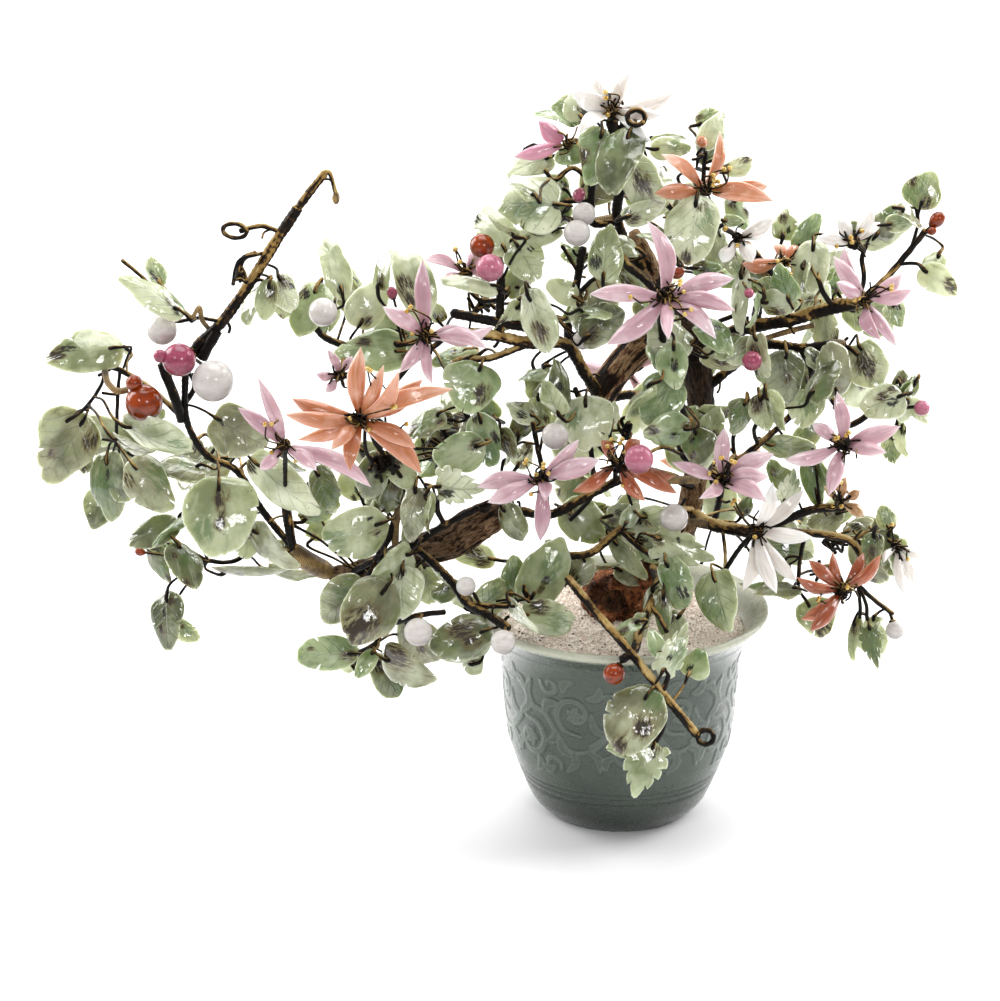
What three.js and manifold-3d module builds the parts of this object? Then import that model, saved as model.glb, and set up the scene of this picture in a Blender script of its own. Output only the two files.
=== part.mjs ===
// Ornamental jade tree: carved jade leaves, glass blooms and glass beads, wired onto a wooden trunk that
// stands in a gravel-filled celadon pot. Millimetres, +Z up, origin at the centre of the pot's flat foot,
// front at -Y.
import * as THREE from 'three';
import { mergeVertices } from 'three/addons/utils/BufferGeometryUtils.js';
import Module from 'manifold-3d';

const wasm = await Module();
wasm.setup();

// Driving dimensions
const POT_HEIGHT = 110;
const POT_FLOOR = 8;
const RIM_RADIUS = 75;
const POT_SIDES = 28;
const GRAVEL_TOP = 100;
const GRAVEL_EDGE = { radius: 62, drop: 1.5 }; // the gravel sinks a little towards the wall
const ROOT_PEG = { radius: 12, depth: 22, sides: 12 }; // the part of the trunk that stands in the gravel
const GAP = 0.35; // clearance between neighbouring pieces
const BLADE = 0.8; // thickness of a carved leaf or a glass petal
const PETIOLE_WIDTH = 1;
const PETIOLE_REACH = 4; // how far behind a leaf's foot its petiole looks for the wire
const LONG_PETIOLE = 10; // shorter petioles widen into the leaf all the way
const LARGE_LEAF = 35;
const LEAF_ARCH = 0.1; // rise of a leaf's back, in parts of its length
const LEAF_LEAN = 16; // how far leaves flutter forward and back, in degrees
const LEAF_TURN = 20; // how far they turn about their ribs, in degrees
const PETAL_START = 0.6; // distance of a petal's foot from the middle of its bloom's core
const PETAL_ARCH = 0.1; // rise of a petal's back, in parts of its length
const BLOOM_CORE_RADIUS = 4.8;
const TWIG_RADIUS = 1.2;
const THIN_WIRE = 2.3; // wires up to this radius have three sides, the others four
const BEAD_MERIDIANS = 8;
const BEAD_BANDS = 4;
const WOOD_SIDES = 8;
const WOOD_RIDGE = 0.12; // depth of the ridges in the bark, in parts of a limb's radius
const WELD = 1e-3;
const TOLERANCE = 0.08; // facets that differ by less are merged

// The tree is laid out on a drawing of its front. A layout point is [u, v, layer]: u to the right and v down
// on the drawing, then the layer of the tree that the point is in, counted from the pot's axis to the front.
// The drawing is seen by an eye that stands in front of the tree and a little above it.
const LAYER = 1.4; // depth of a layer
const EYE = new THREE.Vector3(-61.3, -1311.7, 601.1);
const EYE_PITCH = THREE.MathUtils.degToRad(18.4);
const DRAWING_FOCUS = 2761;
const DRAWING_CENTRE = { u: 500, v: 500.5 };
const RIGHT = new THREE.Vector3(1, 0, 0);
const UP = new THREE.Vector3(0, Math.sin(EYE_PITCH), Math.cos(EYE_PITCH));
const TO_EYE = new THREE.Vector3(0, -Math.cos(EYE_PITCH), Math.sin(EYE_PITCH));

const COLOURS = {
  celadon: 0x8f9d98,
  gravel: 0xcbb8a8,
  wood: 0x4a3020,
  jade: 0xaebd98,
  lilac: 0xd9a9c4,
  coral: 0xdd8a68,
  white: 0xeee8e4,
  magenta: 0xc45b8b,
  orange: 0xc4521f,
};

function at([u, v, layer]) {
  const sight = TO_EYE.clone().negate()
    .addScaledVector(RIGHT, (u - DRAWING_CENTRE.u) / DRAWING_FOCUS)
    .addScaledVector(UP, (DRAWING_CENTRE.v - v) / DRAWING_FOCUS);
  return EYE.clone().addScaledVector(sight, (-layer * LAYER - EYE.y) / sight.y);
}

// Solids

function solid(geometry) {
  geometry.deleteAttribute('normal');
  geometry.deleteAttribute('uv');
  const welded = mergeVertices(geometry, WELD);
  return new wasm.Manifold(new wasm.Mesh({
    numProp: 3,
    vertProperties: Float32Array.from(welded.attributes.position.array),
    triVerts: Uint32Array.from(welded.index.array),
  }));
}

function fuse(solids) {
  return solids.reduce((whole, piece) => whole.add(piece));
}

// Fuses what touches into one body and drops the slivers that a cut can leave beside it
function oneBody(solids, cutters = []) {
  const whole = cutters.reduce((shape, cutter) => shape.subtract(cutter), fuse(solids));
  return whole.decompose().reduce((best, piece) => (piece.volume() > best.volume() ? piece : best));
}

function mesh(name, shape, colour, roughness) {
  const { vertProperties, triVerts } = shape.simplify(TOLERANCE).getMesh();
  const geometry = new THREE.BufferGeometry();
  geometry.setAttribute('position', new THREE.BufferAttribute(Float32Array.from(vertProperties), 3));
  geometry.setIndex(new THREE.BufferAttribute(Uint32Array.from(triVerts), 1));
  const body = new THREE.Mesh(geometry, new THREE.MeshStandardMaterial({ color: colour, roughness }));
  body.name = name;
  return body;
}

function polygon(radius, sides) {
  const points = [];
  for (let i = 0; i < sides; i += 1) {
    const angle = (i / sides) * 2 * Math.PI;
    points.push(new THREE.Vector2(radius * Math.cos(angle), radius * Math.sin(angle)));
  }
  return new THREE.Shape(points);
}

function tube(curve, radius, sides, steps) {
  return solid(new THREE.ExtrudeGeometry(polygon(radius, sides), { extrudePath: curve, steps }));
}

// The way of a wire through layout points: its tube has a section at each of them
class Route extends THREE.CatmullRomCurve3 {
  constructor(points) {
    super(points.map(at), false, 'centripetal');
  }

  getUtoTmapping(place) {
    return place;
  }
}

function wireSides(radius) {
  return radius > THIN_WIRE ? 4 : 3;
}

function wire([radius, ...points]) {
  return tube(new Route(points), radius, wireSides(radius), points.length - 1);
}

// The channel that clears a wire on every side and at both of its ends. A wire turns about its own axis on
// its way, so the pocket at its far end is square and holds it at any turn.
function channel([radius, ...points]) {
  const sides = wireSides(radius);
  const reach = radius + GAP / Math.cos(Math.PI / sides);
  const route = new Route(points);
  const pocket = (place, halfWidth, corners) => {
    const step = route.getTangentAt(place).multiplyScalar(GAP);
    const end = route.getPointAt(place);
    return tube(new THREE.LineCurve3(end.clone().sub(step), end.clone().add(step)), halfWidth, corners, 1);
  };
  return fuse([
    tube(route, reach, sides, points.length - 1),
    pocket(0, reach, sides),
    pocket(1, reach * Math.SQRT2, 4),
  ]);
}

// A thin blade through sections from its foot to its tip. A section reaches `left` and `right` of its centre
// along its side axis, and half the blade's thickness to both faces. Where both reaches are zero the blade
// ends in an edge.
function blade(sections) {
  const half = BLADE / 2;
  const rings = sections.map(({ centre, side, face, left, right }) => (
    [[left, half], [-right, half], [-right, -half], [left, -half]].map(([across, towards]) => (
      centre.clone().addScaledVector(side, across).addScaledVector(face, towards)))));
  const positions = [];
  const quad = (a, b, c, d) => {
    for (const corners of [[a, b, c], [a, c, d]]) {
      if (corners.every((corner, i) => corner.distanceTo(corners[(i + 1) % 3]) > WELD)) {
        positions.push(...corners.flatMap((corner) => corner.toArray()));
      }
    }
  };
  const [foot] = rings;
  const tip = rings[rings.length - 1];
  quad(foot[0], foot[3], foot[2], foot[1]);
  quad(...tip);
  for (let i = 1; i < rings.length; i += 1) {
    const [low, high] = [rings[i - 1], rings[i]];
    for (let k = 0; k < 4; k += 1) {
      const next = (k + 1) % 4;
      quad(low[k], low[next], high[next], high[k]);
    }
  }
  const geometry = new THREE.BufferGeometry();
  geometry.setAttribute('position', new THREE.Float32BufferAttribute(positions, 3));
  return solid(geometry);
}

// Axes of a blade: `axis` runs from base to tip, `face` is its front, turned about the axis by `roll`
function bladeAxes(axis, roll) {
  const front = TO_EYE.clone().addScaledVector(axis, -TO_EYE.dot(axis)).normalize();
  const face = front.applyAxisAngle(axis, roll);
  return { axis, face, side: face.clone().cross(axis) };
}

// A blade's body along its axis, from sections [along, left, right] in parts of its length and width
function bladeBody(sections, { base, length, width, axis, face, side }, arch) {
  return sections.map(([along, left, right]) => ({
    centre: base.clone()
      .addScaledVector(axis, along * length)
      .addScaledVector(face, arch * length * Math.sin(Math.PI * along)),
    side,
    face,
    left: left * width,
    right: right * width,
  }));
}

// Carved leaves. A large one has one edge cut in.
const LARGE_LEAF_SECTIONS = [[0.34, 0.46, 0.5], [0.64, 0.44, 0.25], [1, 0, 0]];
const LEAF_SECTIONS = [[0.42, 0.52, 0.48], [1, 0, 0]];

// Leaves flutter: each hangs a little out of the plane of its neighbours
function leafFrame([u, v, layer, direction, length, width, tilt, roll], index) {
  const heading = THREE.MathUtils.degToRad(direction);
  const rise = THREE.MathUtils.degToRad(tilt + LEAF_LEAN * Math.sin(3.1 * index));
  const turn = THREE.MathUtils.degToRad(roll + LEAF_TURN * Math.sin(2.1 * index + 1));
  const axis = RIGHT.clone().multiplyScalar(Math.cos(heading) * Math.cos(rise))
    .addScaledVector(UP, Math.sin(heading) * Math.cos(rise))
    .addScaledVector(TO_EYE, Math.sin(rise));
  const base = at([u, v, layer]).addScaledVector(axis, -length / 2);
  return { base, length, width, ...bladeAxes(axis, turn) };
}

// The nearest of a branch's wire points, where a petiole or a twig leaves it
function nearest(spots, target) {
  return spots.reduce((best, spot) => (spot.distanceTo(target) < best.distanceTo(target) ? spot : best));
}

// Points on the middle lines of wires, clear of their cut ends
function wireSpots(stems) {
  return stems.flatMap(([, ...points]) => points.slice(1).flatMap((point, i) => (
    [0.15, 0.35, 0.55, 0.75, 0.9].map((place) => at(points[i]).lerp(at(point), place)))));
}

// A leaf and its petiole are one blade: a strip comes from the wire, turns into the leaf's plane and widens
function leaf(spots, frame) {
  const { base, axis, face, side } = frame;
  const from = nearest(spots, base.clone().addScaledVector(axis, -PETIOLE_REACH));
  const turn = new THREE.Quaternion().setFromUnitVectors(axis, base.clone().sub(from).normalize());
  const halfTurn = new THREE.Quaternion().slerp(turn, 0.5);
  const hasNeck = from.distanceTo(base) > LONG_PETIOLE;
  const reach = hasNeck ? PETIOLE_WIDTH / 2 : 0;
  const turned = (centre, quaternion) => ({
    centre,
    side: side.clone().applyQuaternion(quaternion),
    face: face.clone().applyQuaternion(quaternion),
    left: reach,
    right: reach,
  });
  const neck = hasNeck ? [turned(base, halfTurn)] : [];
  const body = bladeBody(frame.length > LARGE_LEAF ? LARGE_LEAF_SECTIONS : LEAF_SECTIONS, frame, LEAF_ARCH);
  return blade([turned(from, turn), ...neck, ...body]);
}

// A twig carries a bloom or a bead
function twig(spots, target) {
  const from = nearest(spots, target);
  return tube(new THREE.LineCurve3(from, target), TWIG_RADIUS, 3, 1);
}

// Glass petals
const PETAL_SECTIONS = [[0, 0, 0], [0.5, 0.5, 0.5], [1, 0, 0]];

function petal(core, [u, v, lift, width], layer) {
  const tip = at([u, v, layer + lift]);
  const axes = bladeAxes(tip.clone().sub(core).normalize(), 0);
  const base = core.clone().addScaledVector(axes.axis, PETAL_START);
  const frame = { base, length: base.distanceTo(tip), width, ...axes };
  return blade(bladeBody(PETAL_SECTIONS, frame, PETAL_ARCH));
}

function ball([u, v, layer, radius]) {
  const sphere = new THREE.SphereGeometry(radius, BEAD_MERIDIANS, BEAD_BANDS).rotateX(Math.PI / 2);
  return solid(sphere).translate(at([u, v, layer]).toArray());
}

function octahedron([u, v, layer, radius]) {
  return solid(new THREE.OctahedronGeometry(radius, 0)).translate(at([u, v, layer]).toArray());
}

function bloom({ core, petals }) {
  const centre = at(core);
  return oneBody([
    octahedron([...core, BLOOM_CORE_RADIUS]),
    ...petals.map((entry) => petal(centre, entry, core[2])),
  ]);
}

// Branch layout. A stem is [radius, ...layout points]. A leaf is [u, v, layer, direction, length, width,
// tilt, roll] at its middle, with the direction from base to tip in degrees from the right, the tilt of its
// tip forward and its roll about its own rib. A bud is [u, v, layer, radius].

const BRANCHES = {
  branch_left: {
    stems: [
      [2.2, [336, 575, 5], [297, 553, 10], [288, 520, 14], [285, 495, 20]],
      [1.6, [297, 553, 10], [262, 510, 12], [236, 470, 14], [207, 455, 16], [187, 422, 16], [185, 372, 18]],
      [2.4, [185, 372, 18], [196, 348, 18], [222, 322, 20], [250, 283, 20], [275, 243, 20], [298, 208, 20]],
      [1.8, [298, 208, 20], [318, 182, 20], [328, 172, 20], [336, 194, 20]],
      [1.2, [297, 553, 10], [262, 548, 12], [230, 562, 12], [203, 560, 14]],
      [1.3, [187, 422, 16], [150, 388, 14], [120, 370, 14], [103, 364, 14]],
      [0.9, [103, 364, 14], [103, 380, 16], [85, 408, 18], [66, 422, 20]],
      [0.9, [120, 370, 14], [118, 392, 14], [116, 446, 12]],
      [1.2, [282, 233, 20], [262, 226, 20], [240, 231, 20]],
      [0.9, [268, 252, 20], [240, 260, 22], [236, 268, 22], [233, 285, 24]],
      [0.9, [250, 283, 20], [262, 280, 22], [272, 292, 24]],
      [0.9, [222, 322, 20], [200, 318, 22], [172, 320, 20], [149, 284, 22], [122, 260, 20]],
    ],
    leaves: [
      [152, 298, 26, 148, 38, 15, 10, 20],
      [85, 354, 15, 188, 40, 22, 5, 15],
      [65, 446, 19, 240, 40, 33, 10, -10],
      [110, 485, 10, 268, 36, 23, -10, 10],
      [157, 433, 30, 338, 42, 22, 5, 48],
      [100, 508, 2, 250, 23, 18, 0, 20],
      [150, 485, 20, 310, 33, 23, 10, -20],
      [178, 470, 12, 180, 31, 22, 0, 52],
      [218, 517, 32, 270, 43, 37, 12, 8],
      [238, 430, 22, 330, 31, 26, -8, -15],
      [155, 535, 10, 205, 30, 16, 5, 20],
      [186, 565, 24, 300, 28, 18, 8, -20],
      [170, 620, 18, 270, 30, 20, 8, 10],
      [283, 483, 20, 320, 46, 20, -5, 15],
      [275, 545, 24, 315, 34, 18, 8, 62],
      [250, 567, 14, 0, 42, 18, 0, 60],
      [268, 300, 25, 260, 20, 12, 5, 10],
      [285, 293, 21, 290, 21, 14, 5, 20],
      [205, 470, -14, 200, 34, 26, -10, 20],
      [112, 440, -10, 150, 34, 24, -15, -20],
    ],
    buds: [[140, 552, 18, 2.4]],
  },
  branch_upper_left: {
    stems: [
      [2.6, [597, 391, -9], [584, 372, -2], [567, 345, 2], [530, 343, 12], [490, 335, 16], [452, 333, 18]],
      [2.2, [567, 345, 2], [530, 328, 10], [497, 322, 14], [452, 313, 14]],
      [1.6, [530, 343, 12], [490, 358, 16], [456, 362, 16], [450, 378, 18]],
      [1.6, [452, 333, 18], [425, 340, 18], [385, 345, 14], [345, 345, 12], [322, 335, 12], [311, 318, 12]],
      [1.4, [456, 362, 16], [462, 400, 10], [470, 430, 10], [462, 455, 14]],
      [1.3, [452, 333, 18], [410, 365, 26], [385, 395, 32], [365, 412, 40]],
      [2.0, [500, 338, 15], [500, 310, 13], [501, 278, 11]],
      [1.1, [500, 300, 12], [480, 300, 12], [466, 286, 10]],
    ],
    leaves: [
      [311, 310, 16, 250, 28, 24, 10, 10],
      [333, 268, 6, 105, 33, 16, -8, 25],
      [370, 305, 6, 60, 28, 20, -5, 35],
      [372, 352, 16, 180, 38, 21, 5, -10],
      [413, 285, 12, 110, 40, 19, -6, 10],
      [472, 388, 24, 250, 28, 28, 8, 8],
      [428, 425, 12, 215, 22, 16, 0, 20],
      [484, 440, 14, 285, 28, 18, 6, -20],
      [460, 452, 20, 200, 27, 20, 8, 10],
      [470, 286, 20, 170, 31, 12, 5, 30],
      [495, 232, 4, 115, 28, 20, -10, 10],
      [526, 262, 12, 300, 22, 20, 8, 10],
      [465, 395, -14, 200, 32, 24, -15, 10],
      [400, 330, -10, 150, 34, 22, -15, -20],
    ],
    buds: [[392, 293, 18, 3]],
  },
  branch_bough: {
    stems: [
      [1.5, [352, 572, 8], [375, 560, 15], [412, 545, 18], [445, 525, 20], [478, 508, 19]],
      [1.4, [375, 560, 15], [388, 540, 20], [394, 520, 18], [406, 494, 14]],
      [1.3, [445, 525, 20], [438, 512, 20], [437, 500, 20]],
      [1.9, [412, 545, 18], [432, 562, 24], [450, 580, 26], [467, 603, 32], [490, 616, 42], [508, 628, 50]],
      [1.2, [467, 603, 32], [490, 606, 38], [518, 606, 40]],
      [1.3, [375, 560, 15], [366, 590, 20], [376, 620, 24], [378, 640, 26], [356, 655, 24]],
      [1.3, [376, 620, 24], [396, 622, 32], [420, 615, 36], [445, 612, 36]],
    ],
    leaves: [
      [325, 488, 14, 290, 23, 18, 5, 10],
      [355, 532, 26, 200, 35, 25, 8, -8],
      [318, 512, 8, 20, 24, 12, 0, 62],
      [457, 486, 25, 355, 27, 20, 8, 8],
      [415, 512, 26, 265, 30, 14, 10, 15],
      [393, 562, 28, 215, 25, 17, 8, -15],
      [405, 592, 32, 270, 28, 21, 12, 12],
      [368, 612, 38, 235, 36, 30, 8, -8],
      [328, 653, 26, 180, 33, 18, 5, 15],
      [408, 667, 34, 335, 31, 21, 6, 10],
      [462, 640, 44, 200, 33, 22, 8, 10],
      [345, 600, 17, 215, 30, 22, -15, 15],
      [420, 640, 14, 300, 30, 24, -15, 10],
    ],
    buds: [[337, 600, 16, 2.2]],
  },
  branch_centre: {
    stems: [
      [
        2.1, [692, 486, -10], [665, 475, 0], [640, 472, 10], [595, 492, 16], [548, 515, 12], [512, 510, 7],
        [494, 517, 6],
      ],
      [1.3, [548, 515, 12], [545, 480, 16], [538, 450, 10], [533, 422, 8]],
      [1.3, [595, 492, 16], [592, 460, 6], [588, 425, 4], [575, 388, 4]],
      [1.1, [595, 492, 16], [585, 505, 8], [570, 520, 6]],
    ],
    leaves: [
      [587, 424, 14, 270, 28, 30, 10, 0],
      [558, 388, 8, 95, 30, 13, 0, 25],
      [582, 520, -2, 330, 28, 22, -5, 10],
      [513, 522, 20, 300, 22, 14, 6, 10],
      [575, 440, -14, 250, 34, 26, -15, 10],
    ],
    buds: [],
  },
  branch_middle: {
    stems: [
      [1.9, [692, 510, -8], [655, 512, 4], [620, 530, 12], [590, 553, 16], [563, 556, 18]],
      [1.2, [620, 530, 12], [640, 548, 18], [657, 558, 22], [675, 566, 24]],
      [1.2, [563, 556, 18], [540, 570, 20], [528, 598, 24], [540, 612, 34]],
    ],
    leaves: [
      [625, 512, -2, 60, 23, 18, -8, 15],
      [650, 536, 4, 350, 30, 20, -8, 10],
      [629, 558, 3, 310, 30, 10, 5, 25],
      [600, 562, 4, 0, 29, 16, -5, 62],
      [545, 572, 20, 60, 38, 25, 6, 8],
      [512, 577, 10, 85, 24, 12, 0, 20],
      [490, 595, 16, 45, 22, 17, -5, 10],
      [548, 617, 38, 350, 29, 18, 8, 10],
      [680, 542, 26, 340, 35, 20, 6, 10],
      [676, 582, 30, 290, 27, 20, 10, 12],
      [664, 612, 32, 270, 22, 9, 5, 10],
      [475, 556, -10, 170, 24, 13, -6, 20],
      [625, 530, -34, 280, 34, 24, -20, 10],
    ],
    buds: [],
  },
  branch_inner: {
    stems: [
      [1.9, [597, 398, -14], [578, 362, -12], [568, 335, -8], [574, 300, -4], [583, 248, 2]],
      [1.1, [574, 300, -4], [590, 282, 2], [600, 276, 6]],
      [1.1, [571, 318, -6], [556, 318, 4], [545, 300, 10]],
      [1.0, [578, 272, 0], [566, 252, 0], [562, 246, 0]],
    ],
    leaves: [
      [540, 320, 22, 290, 34, 18, 6, 10],
      [602, 325, 10, 40, 26, 20, 5, -10],
      [606, 254, 12, 85, 30, 17, 5, 10],
      [600, 300, -18, 60, 32, 24, -15, 10],
    ],
    buds: [[581, 341, 9, 4.6]],
  },
  branch_crown_left: {
    stems: [
      [2.4, [642, 268, -12], [624, 240, -8], [617, 212, -2], [620, 185, 2], [616, 150, 2], [612, 120, 6]],
      [1.8, [618, 222, -4], [592, 222, 0], [591, 200, 0], [592, 182, 2]],
      [1.3, [592, 222, 0], [572, 220, 2], [553, 215, 4]],
      [1.1, [591, 200, 0], [575, 201, 0], [563, 202, 0]],
      [1.1, [592, 182, 2], [572, 168, 3], [554, 180, 4], [545, 170, 4]],
      [1.3, [616, 150, 2], [594, 140, 2], [574, 142, 2]],
      [1.2, [612, 128, 5], [626, 126, 5], [637, 118, 5]],
    ],
    leaves: [
      [557, 120, -2, 165, 23, 14, -5, 45],
      [532, 166, 0, 200, 25, 13, 0, 20],
      [595, 156, 16, 260, 29, 22, 6, -8],
      [622, 162, 22, 250, 36, 24, 8, 10],
      [532, 206, 12, 180, 33, 28, 5, 8],
      [535, 240, 4, 200, 30, 14, 0, 40],
      [600, 175, -22, 60, 32, 26, -15, 10],
      [545, 210, -18, 200, 32, 24, -15, 10],
    ],
    buds: [[579, 195, 10, 3.6], [638, 119, 6, 3]],
  },
  branch_crown_right: {
    stems: [
      [2.2, [656, 292, -12], [672, 262, -10], [690, 225, -8], [702, 200, -4]],
      [1.3, [690, 225, -8], [668, 205, -4], [655, 190, -2], [648, 160, -4]],
      [1.1, [702, 200, -4], [704, 168, -8], [706, 148, -8]],
      [1.0, [704, 168, -8], [720, 170, -8], [728, 166, -8]],
      [1.1, [690, 225, -8], [716, 228, -6], [724, 224, -6]],
    ],
    leaves: [
      [645, 182, 6, 300, 27, 21, 5, 10],
      [670, 148, -6, 0, 21, 12, -5, 20],
      [643, 211, 10, 20, 23, 12, 5, 20],
      [696, 231, 16, 265, 36, 27, 8, 5],
      [710, 131, -8, 60, 22, 12, -5, 20],
      [690, 215, -32, 290, 34, 24, -15, 10],
      [655, 190, -28, 60, 30, 22, -20, 10],
    ],
    buds: [[702, 142, -2, 3.2]],
  },
  branch_trunk: {
    stems: [
      [1.8, [698, 410, -10], [688, 424, 2], [680, 440, 8], [686, 458, 12], [700, 462, 12]],
      [1.5, [688, 424, 2], [677, 395, 8], [670, 368, 10], [662, 335, 14], [660, 312, 22]],
      [1.2, [670, 368, 10], [690, 345, 8], [718, 322, 4], [738, 312, 2], [742, 275, 2]],
      [1.7, [660, 318, 20], [655, 292, 18], [645, 280, 16], [626, 264, 10], [621, 245, 4]],
      [1.2, [738, 312, 2], [750, 330, 6], [757, 340, 8]],
    ],
    leaves: [
      [668, 340, 10, 120, 26, 25, -5, 8],
      [674, 366, 24, 270, 24, 16, 10, 5],
      [715, 337, 18, 320, 24, 17, 6, -10],
      [722, 357, 8, 350, 24, 13, 0, 20],
      [662, 400, 22, 240, 27, 24, 8, 8],
      [668, 430, 26, 190, 26, 18, 8, -10],
      [697, 447, 20, 270, 21, 18, 6, 10],
      [742, 300, 8, 265, 34, 10, 5, 30],
      [762, 354, 18, 285, 24, 12, 5, 50],
    ],
    buds: [[678, 273, 22, 3.2]],
  },
  branch_right_up: {
    stems: [
      [3.0, [700, 352, -10], [725, 335, -8], [755, 326, -4], [790, 320, 2], [815, 312, 4], [858, 302, 12]],
      [2.2, [755, 326, -4], [760, 298, -8], [770, 276, -6], [757, 258, -2], [746, 245, 2]],
      [1.4, [858, 302, 12], [887, 277, 6], [905, 256, 4], [926, 230, 4]],
      [0.9, [912, 246, 4], [918, 222, 2], [915, 203, 0]],
      [0.9, [900, 264, 5], [918, 264, 6], [927, 272, 8]],
      [1.2, [836, 309, 8], [824, 294, 10], [818, 278, 10]],
      [1.2, [790, 320, 2], [784, 306, 6], [783, 300, 8]],
      [1.2, [858, 302, 12], [864, 278, 6], [862, 258, 4], [866, 245, 4]],
      [1.2, [746, 245, 2], [735, 235, 4], [724, 228, 6]],
    ],
    leaves: [
      [806, 232, -12, 55, 25, 12, -5, 10],
      [812, 268, 0, 265, 28, 19, 5, 10],
      [785, 284, 12, 110, 20, 15, 5, -10],
      [780, 303, 12, 350, 20, 14, 8, 10],
      [885, 230, -4, 20, 28, 17, -5, 10],
      [925, 190, 0, 75, 20, 19, 0, 10],
      [938, 280, 8, 320, 23, 15, 5, 10],
      [826, 330, -8, 280, 25, 14, -5, 10],
      [808, 290, -24, 60, 32, 24, -20, 10],
      [868, 318, -22, 330, 30, 22, -20, 10],
    ],
    buds: [[937, 220, 6, 4.1], [932, 231, 8, 2.4]],
  },
  branch_right_middle: {
    stems: [
      [2.2, [702, 392, -12], [735, 365, -14], [765, 345, -10], [800, 348, -4], [835, 345, 0]],
      [1.5, [800, 348, -4], [812, 374, 0], [806, 396, 2], [786, 420, 2], [758, 445, 6], [736, 462, 10]],
      [1.4, [812, 374, 0], [834, 402, 4], [848, 425, 8], [878, 410, 8], [903, 412, 8]],
      [1.0, [736, 462, 10], [733, 440, 10], [738, 425, 12]],
      [1.0, [758, 445, 6], [754, 430, 12], [760, 418, 16]],
      [1.2, [835, 345, 0], [850, 348, 2], [858, 355, 4]],
    ],
    leaves: [
      [868, 364, 4, 290, 26, 23, 5, 10],
      [833, 370, 12, 95, 30, 19, 5, 10],
      [785, 376, 9, 270, 29, 22, 8, 8],
      [806, 408, 14, 260, 22, 20, 5, 10],
      [884, 403, 16, 200, 24, 18, 5, 10],
      [738, 416, 16, 250, 20, 14, 5, -10],
      [790, 445, -4, 350, 30, 15, -8, 20],
      [790, 385, -26, 200, 32, 24, -15, 10],
      [850, 385, -22, 320, 32, 24, -20, 10],
    ],
    buds: [[780, 423, 8, 3]],
  },
  branch_right_low: {
    stems: [
      [2.9, [694, 514, -10], [706, 522, -4], [722, 527, 2], [740, 530, 6], [757, 533, 8]],
      [2.0, [757, 533, 8], [790, 518, 6], [815, 509, 6], [845, 507, 6]],
      [1.8, [757, 533, 8], [805, 533, 8], [850, 541, 10], [862, 560, 12], [858, 585, 14]],
      [1.2, [850, 541, 10], [872, 532, 8], [890, 545, 6]],
      [1.1, [858, 585, 14], [872, 598, 14], [893, 614, 14]],
      [0.9, [722, 527, 2], [725, 550, 12], [725, 573, 26]],
      [0.9, [858, 585, 14], [860, 604, 14], [860, 618, 14]],
      [0.9, [858, 585, 14], [866, 604, 16], [867, 620, 16]],
      [1.0, [805, 533, 8], [800, 560, 10], [798, 585, 12]],
    ],
    leaves: [
      [787, 488, 8, 70, 20, 14, 5, 10],
      [816, 482, 0, 280, 26, 14, 0, 10],
      [787, 552, 0, 350, 27, 18, -5, 15],
      [722, 600, 32, 285, 32, 22, 10, 5],
      [777, 592, 14, 180, 25, 13, 0, 50],
      [815, 618, 8, 300, 23, 20, -5, 10],
      [855, 639, 14, 262, 23, 8, 0, 30],
      [873, 644, 18, 280, 24, 11, 5, 10],
      [790, 540, -28, 330, 32, 24, -20, 10],
      [872, 560, -18, 300, 30, 20, -20, 10],
    ],
    buds: [],
  },
  branch_front: {
    stems: [
      [2.0, [652, 566, -7], [657, 585, 17], [650, 606, 32], [640, 628, 46], [634, 650, 58], [622, 660, 63]],
      [1.9, [568, 578, 37], [594, 610, 50], [620, 640, 58], [640, 664, 62], [662, 692, 65], [697, 735, 65]],
      [1.1, [650, 606, 32], [660, 618, 40], [667, 632, 45]],
      [1.1, [662, 692, 65], [655, 705, 66], [651, 712, 67]],
      [1.1, [662, 692, 65], [664, 725, 65], [656, 742, 65]],
      [1.2, [662, 692, 65], [668, 676, 65], [664, 668, 65]],
    ],
    leaves: [
      [634, 720, 68, 238, 38, 29, 0, 5],
      [645, 766, 66, 250, 31, 21, 0, -5],
      [672, 652, 62, 62, 31, 13, 0, 20],
    ],
    buds: [],
  },
  branch_back: {
    stems: [
      [2.2, [700, 430, -12], [690, 425, -30], [665, 410, -48], [635, 395, -58], [600, 400, -62]],
      [1.8, [665, 410, -48], [672, 370, -56], [668, 330, -58], [655, 300, -56]],
      [1.6, [690, 425, -30], [712, 440, -50], [722, 480, -60], [715, 520, -60]],
      [1.6, [600, 400, -62], [570, 430, -58], [560, 470, -54]],
    ],
    leaves: [
      [660, 345, -68, 120, 32, 26, -15, 20],
      [690, 370, -66, 30, 34, 24, -20, 10],
      [645, 410, -70, 230, 34, 26, -15, -10],
      [600, 430, -68, 250, 34, 26, -20, 10],
      [655, 300, -62, 60, 30, 22, -10, 10],
      [690, 450, -64, 300, 34, 26, -20, 10],
      [720, 500, -68, 290, 34, 24, -15, 10],
      [575, 490, -58, 270, 30, 22, -10, 10],
      [672, 540, -62, 230, 32, 24, -20, 20],
    ],
    buds: [],
  },
};

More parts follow.
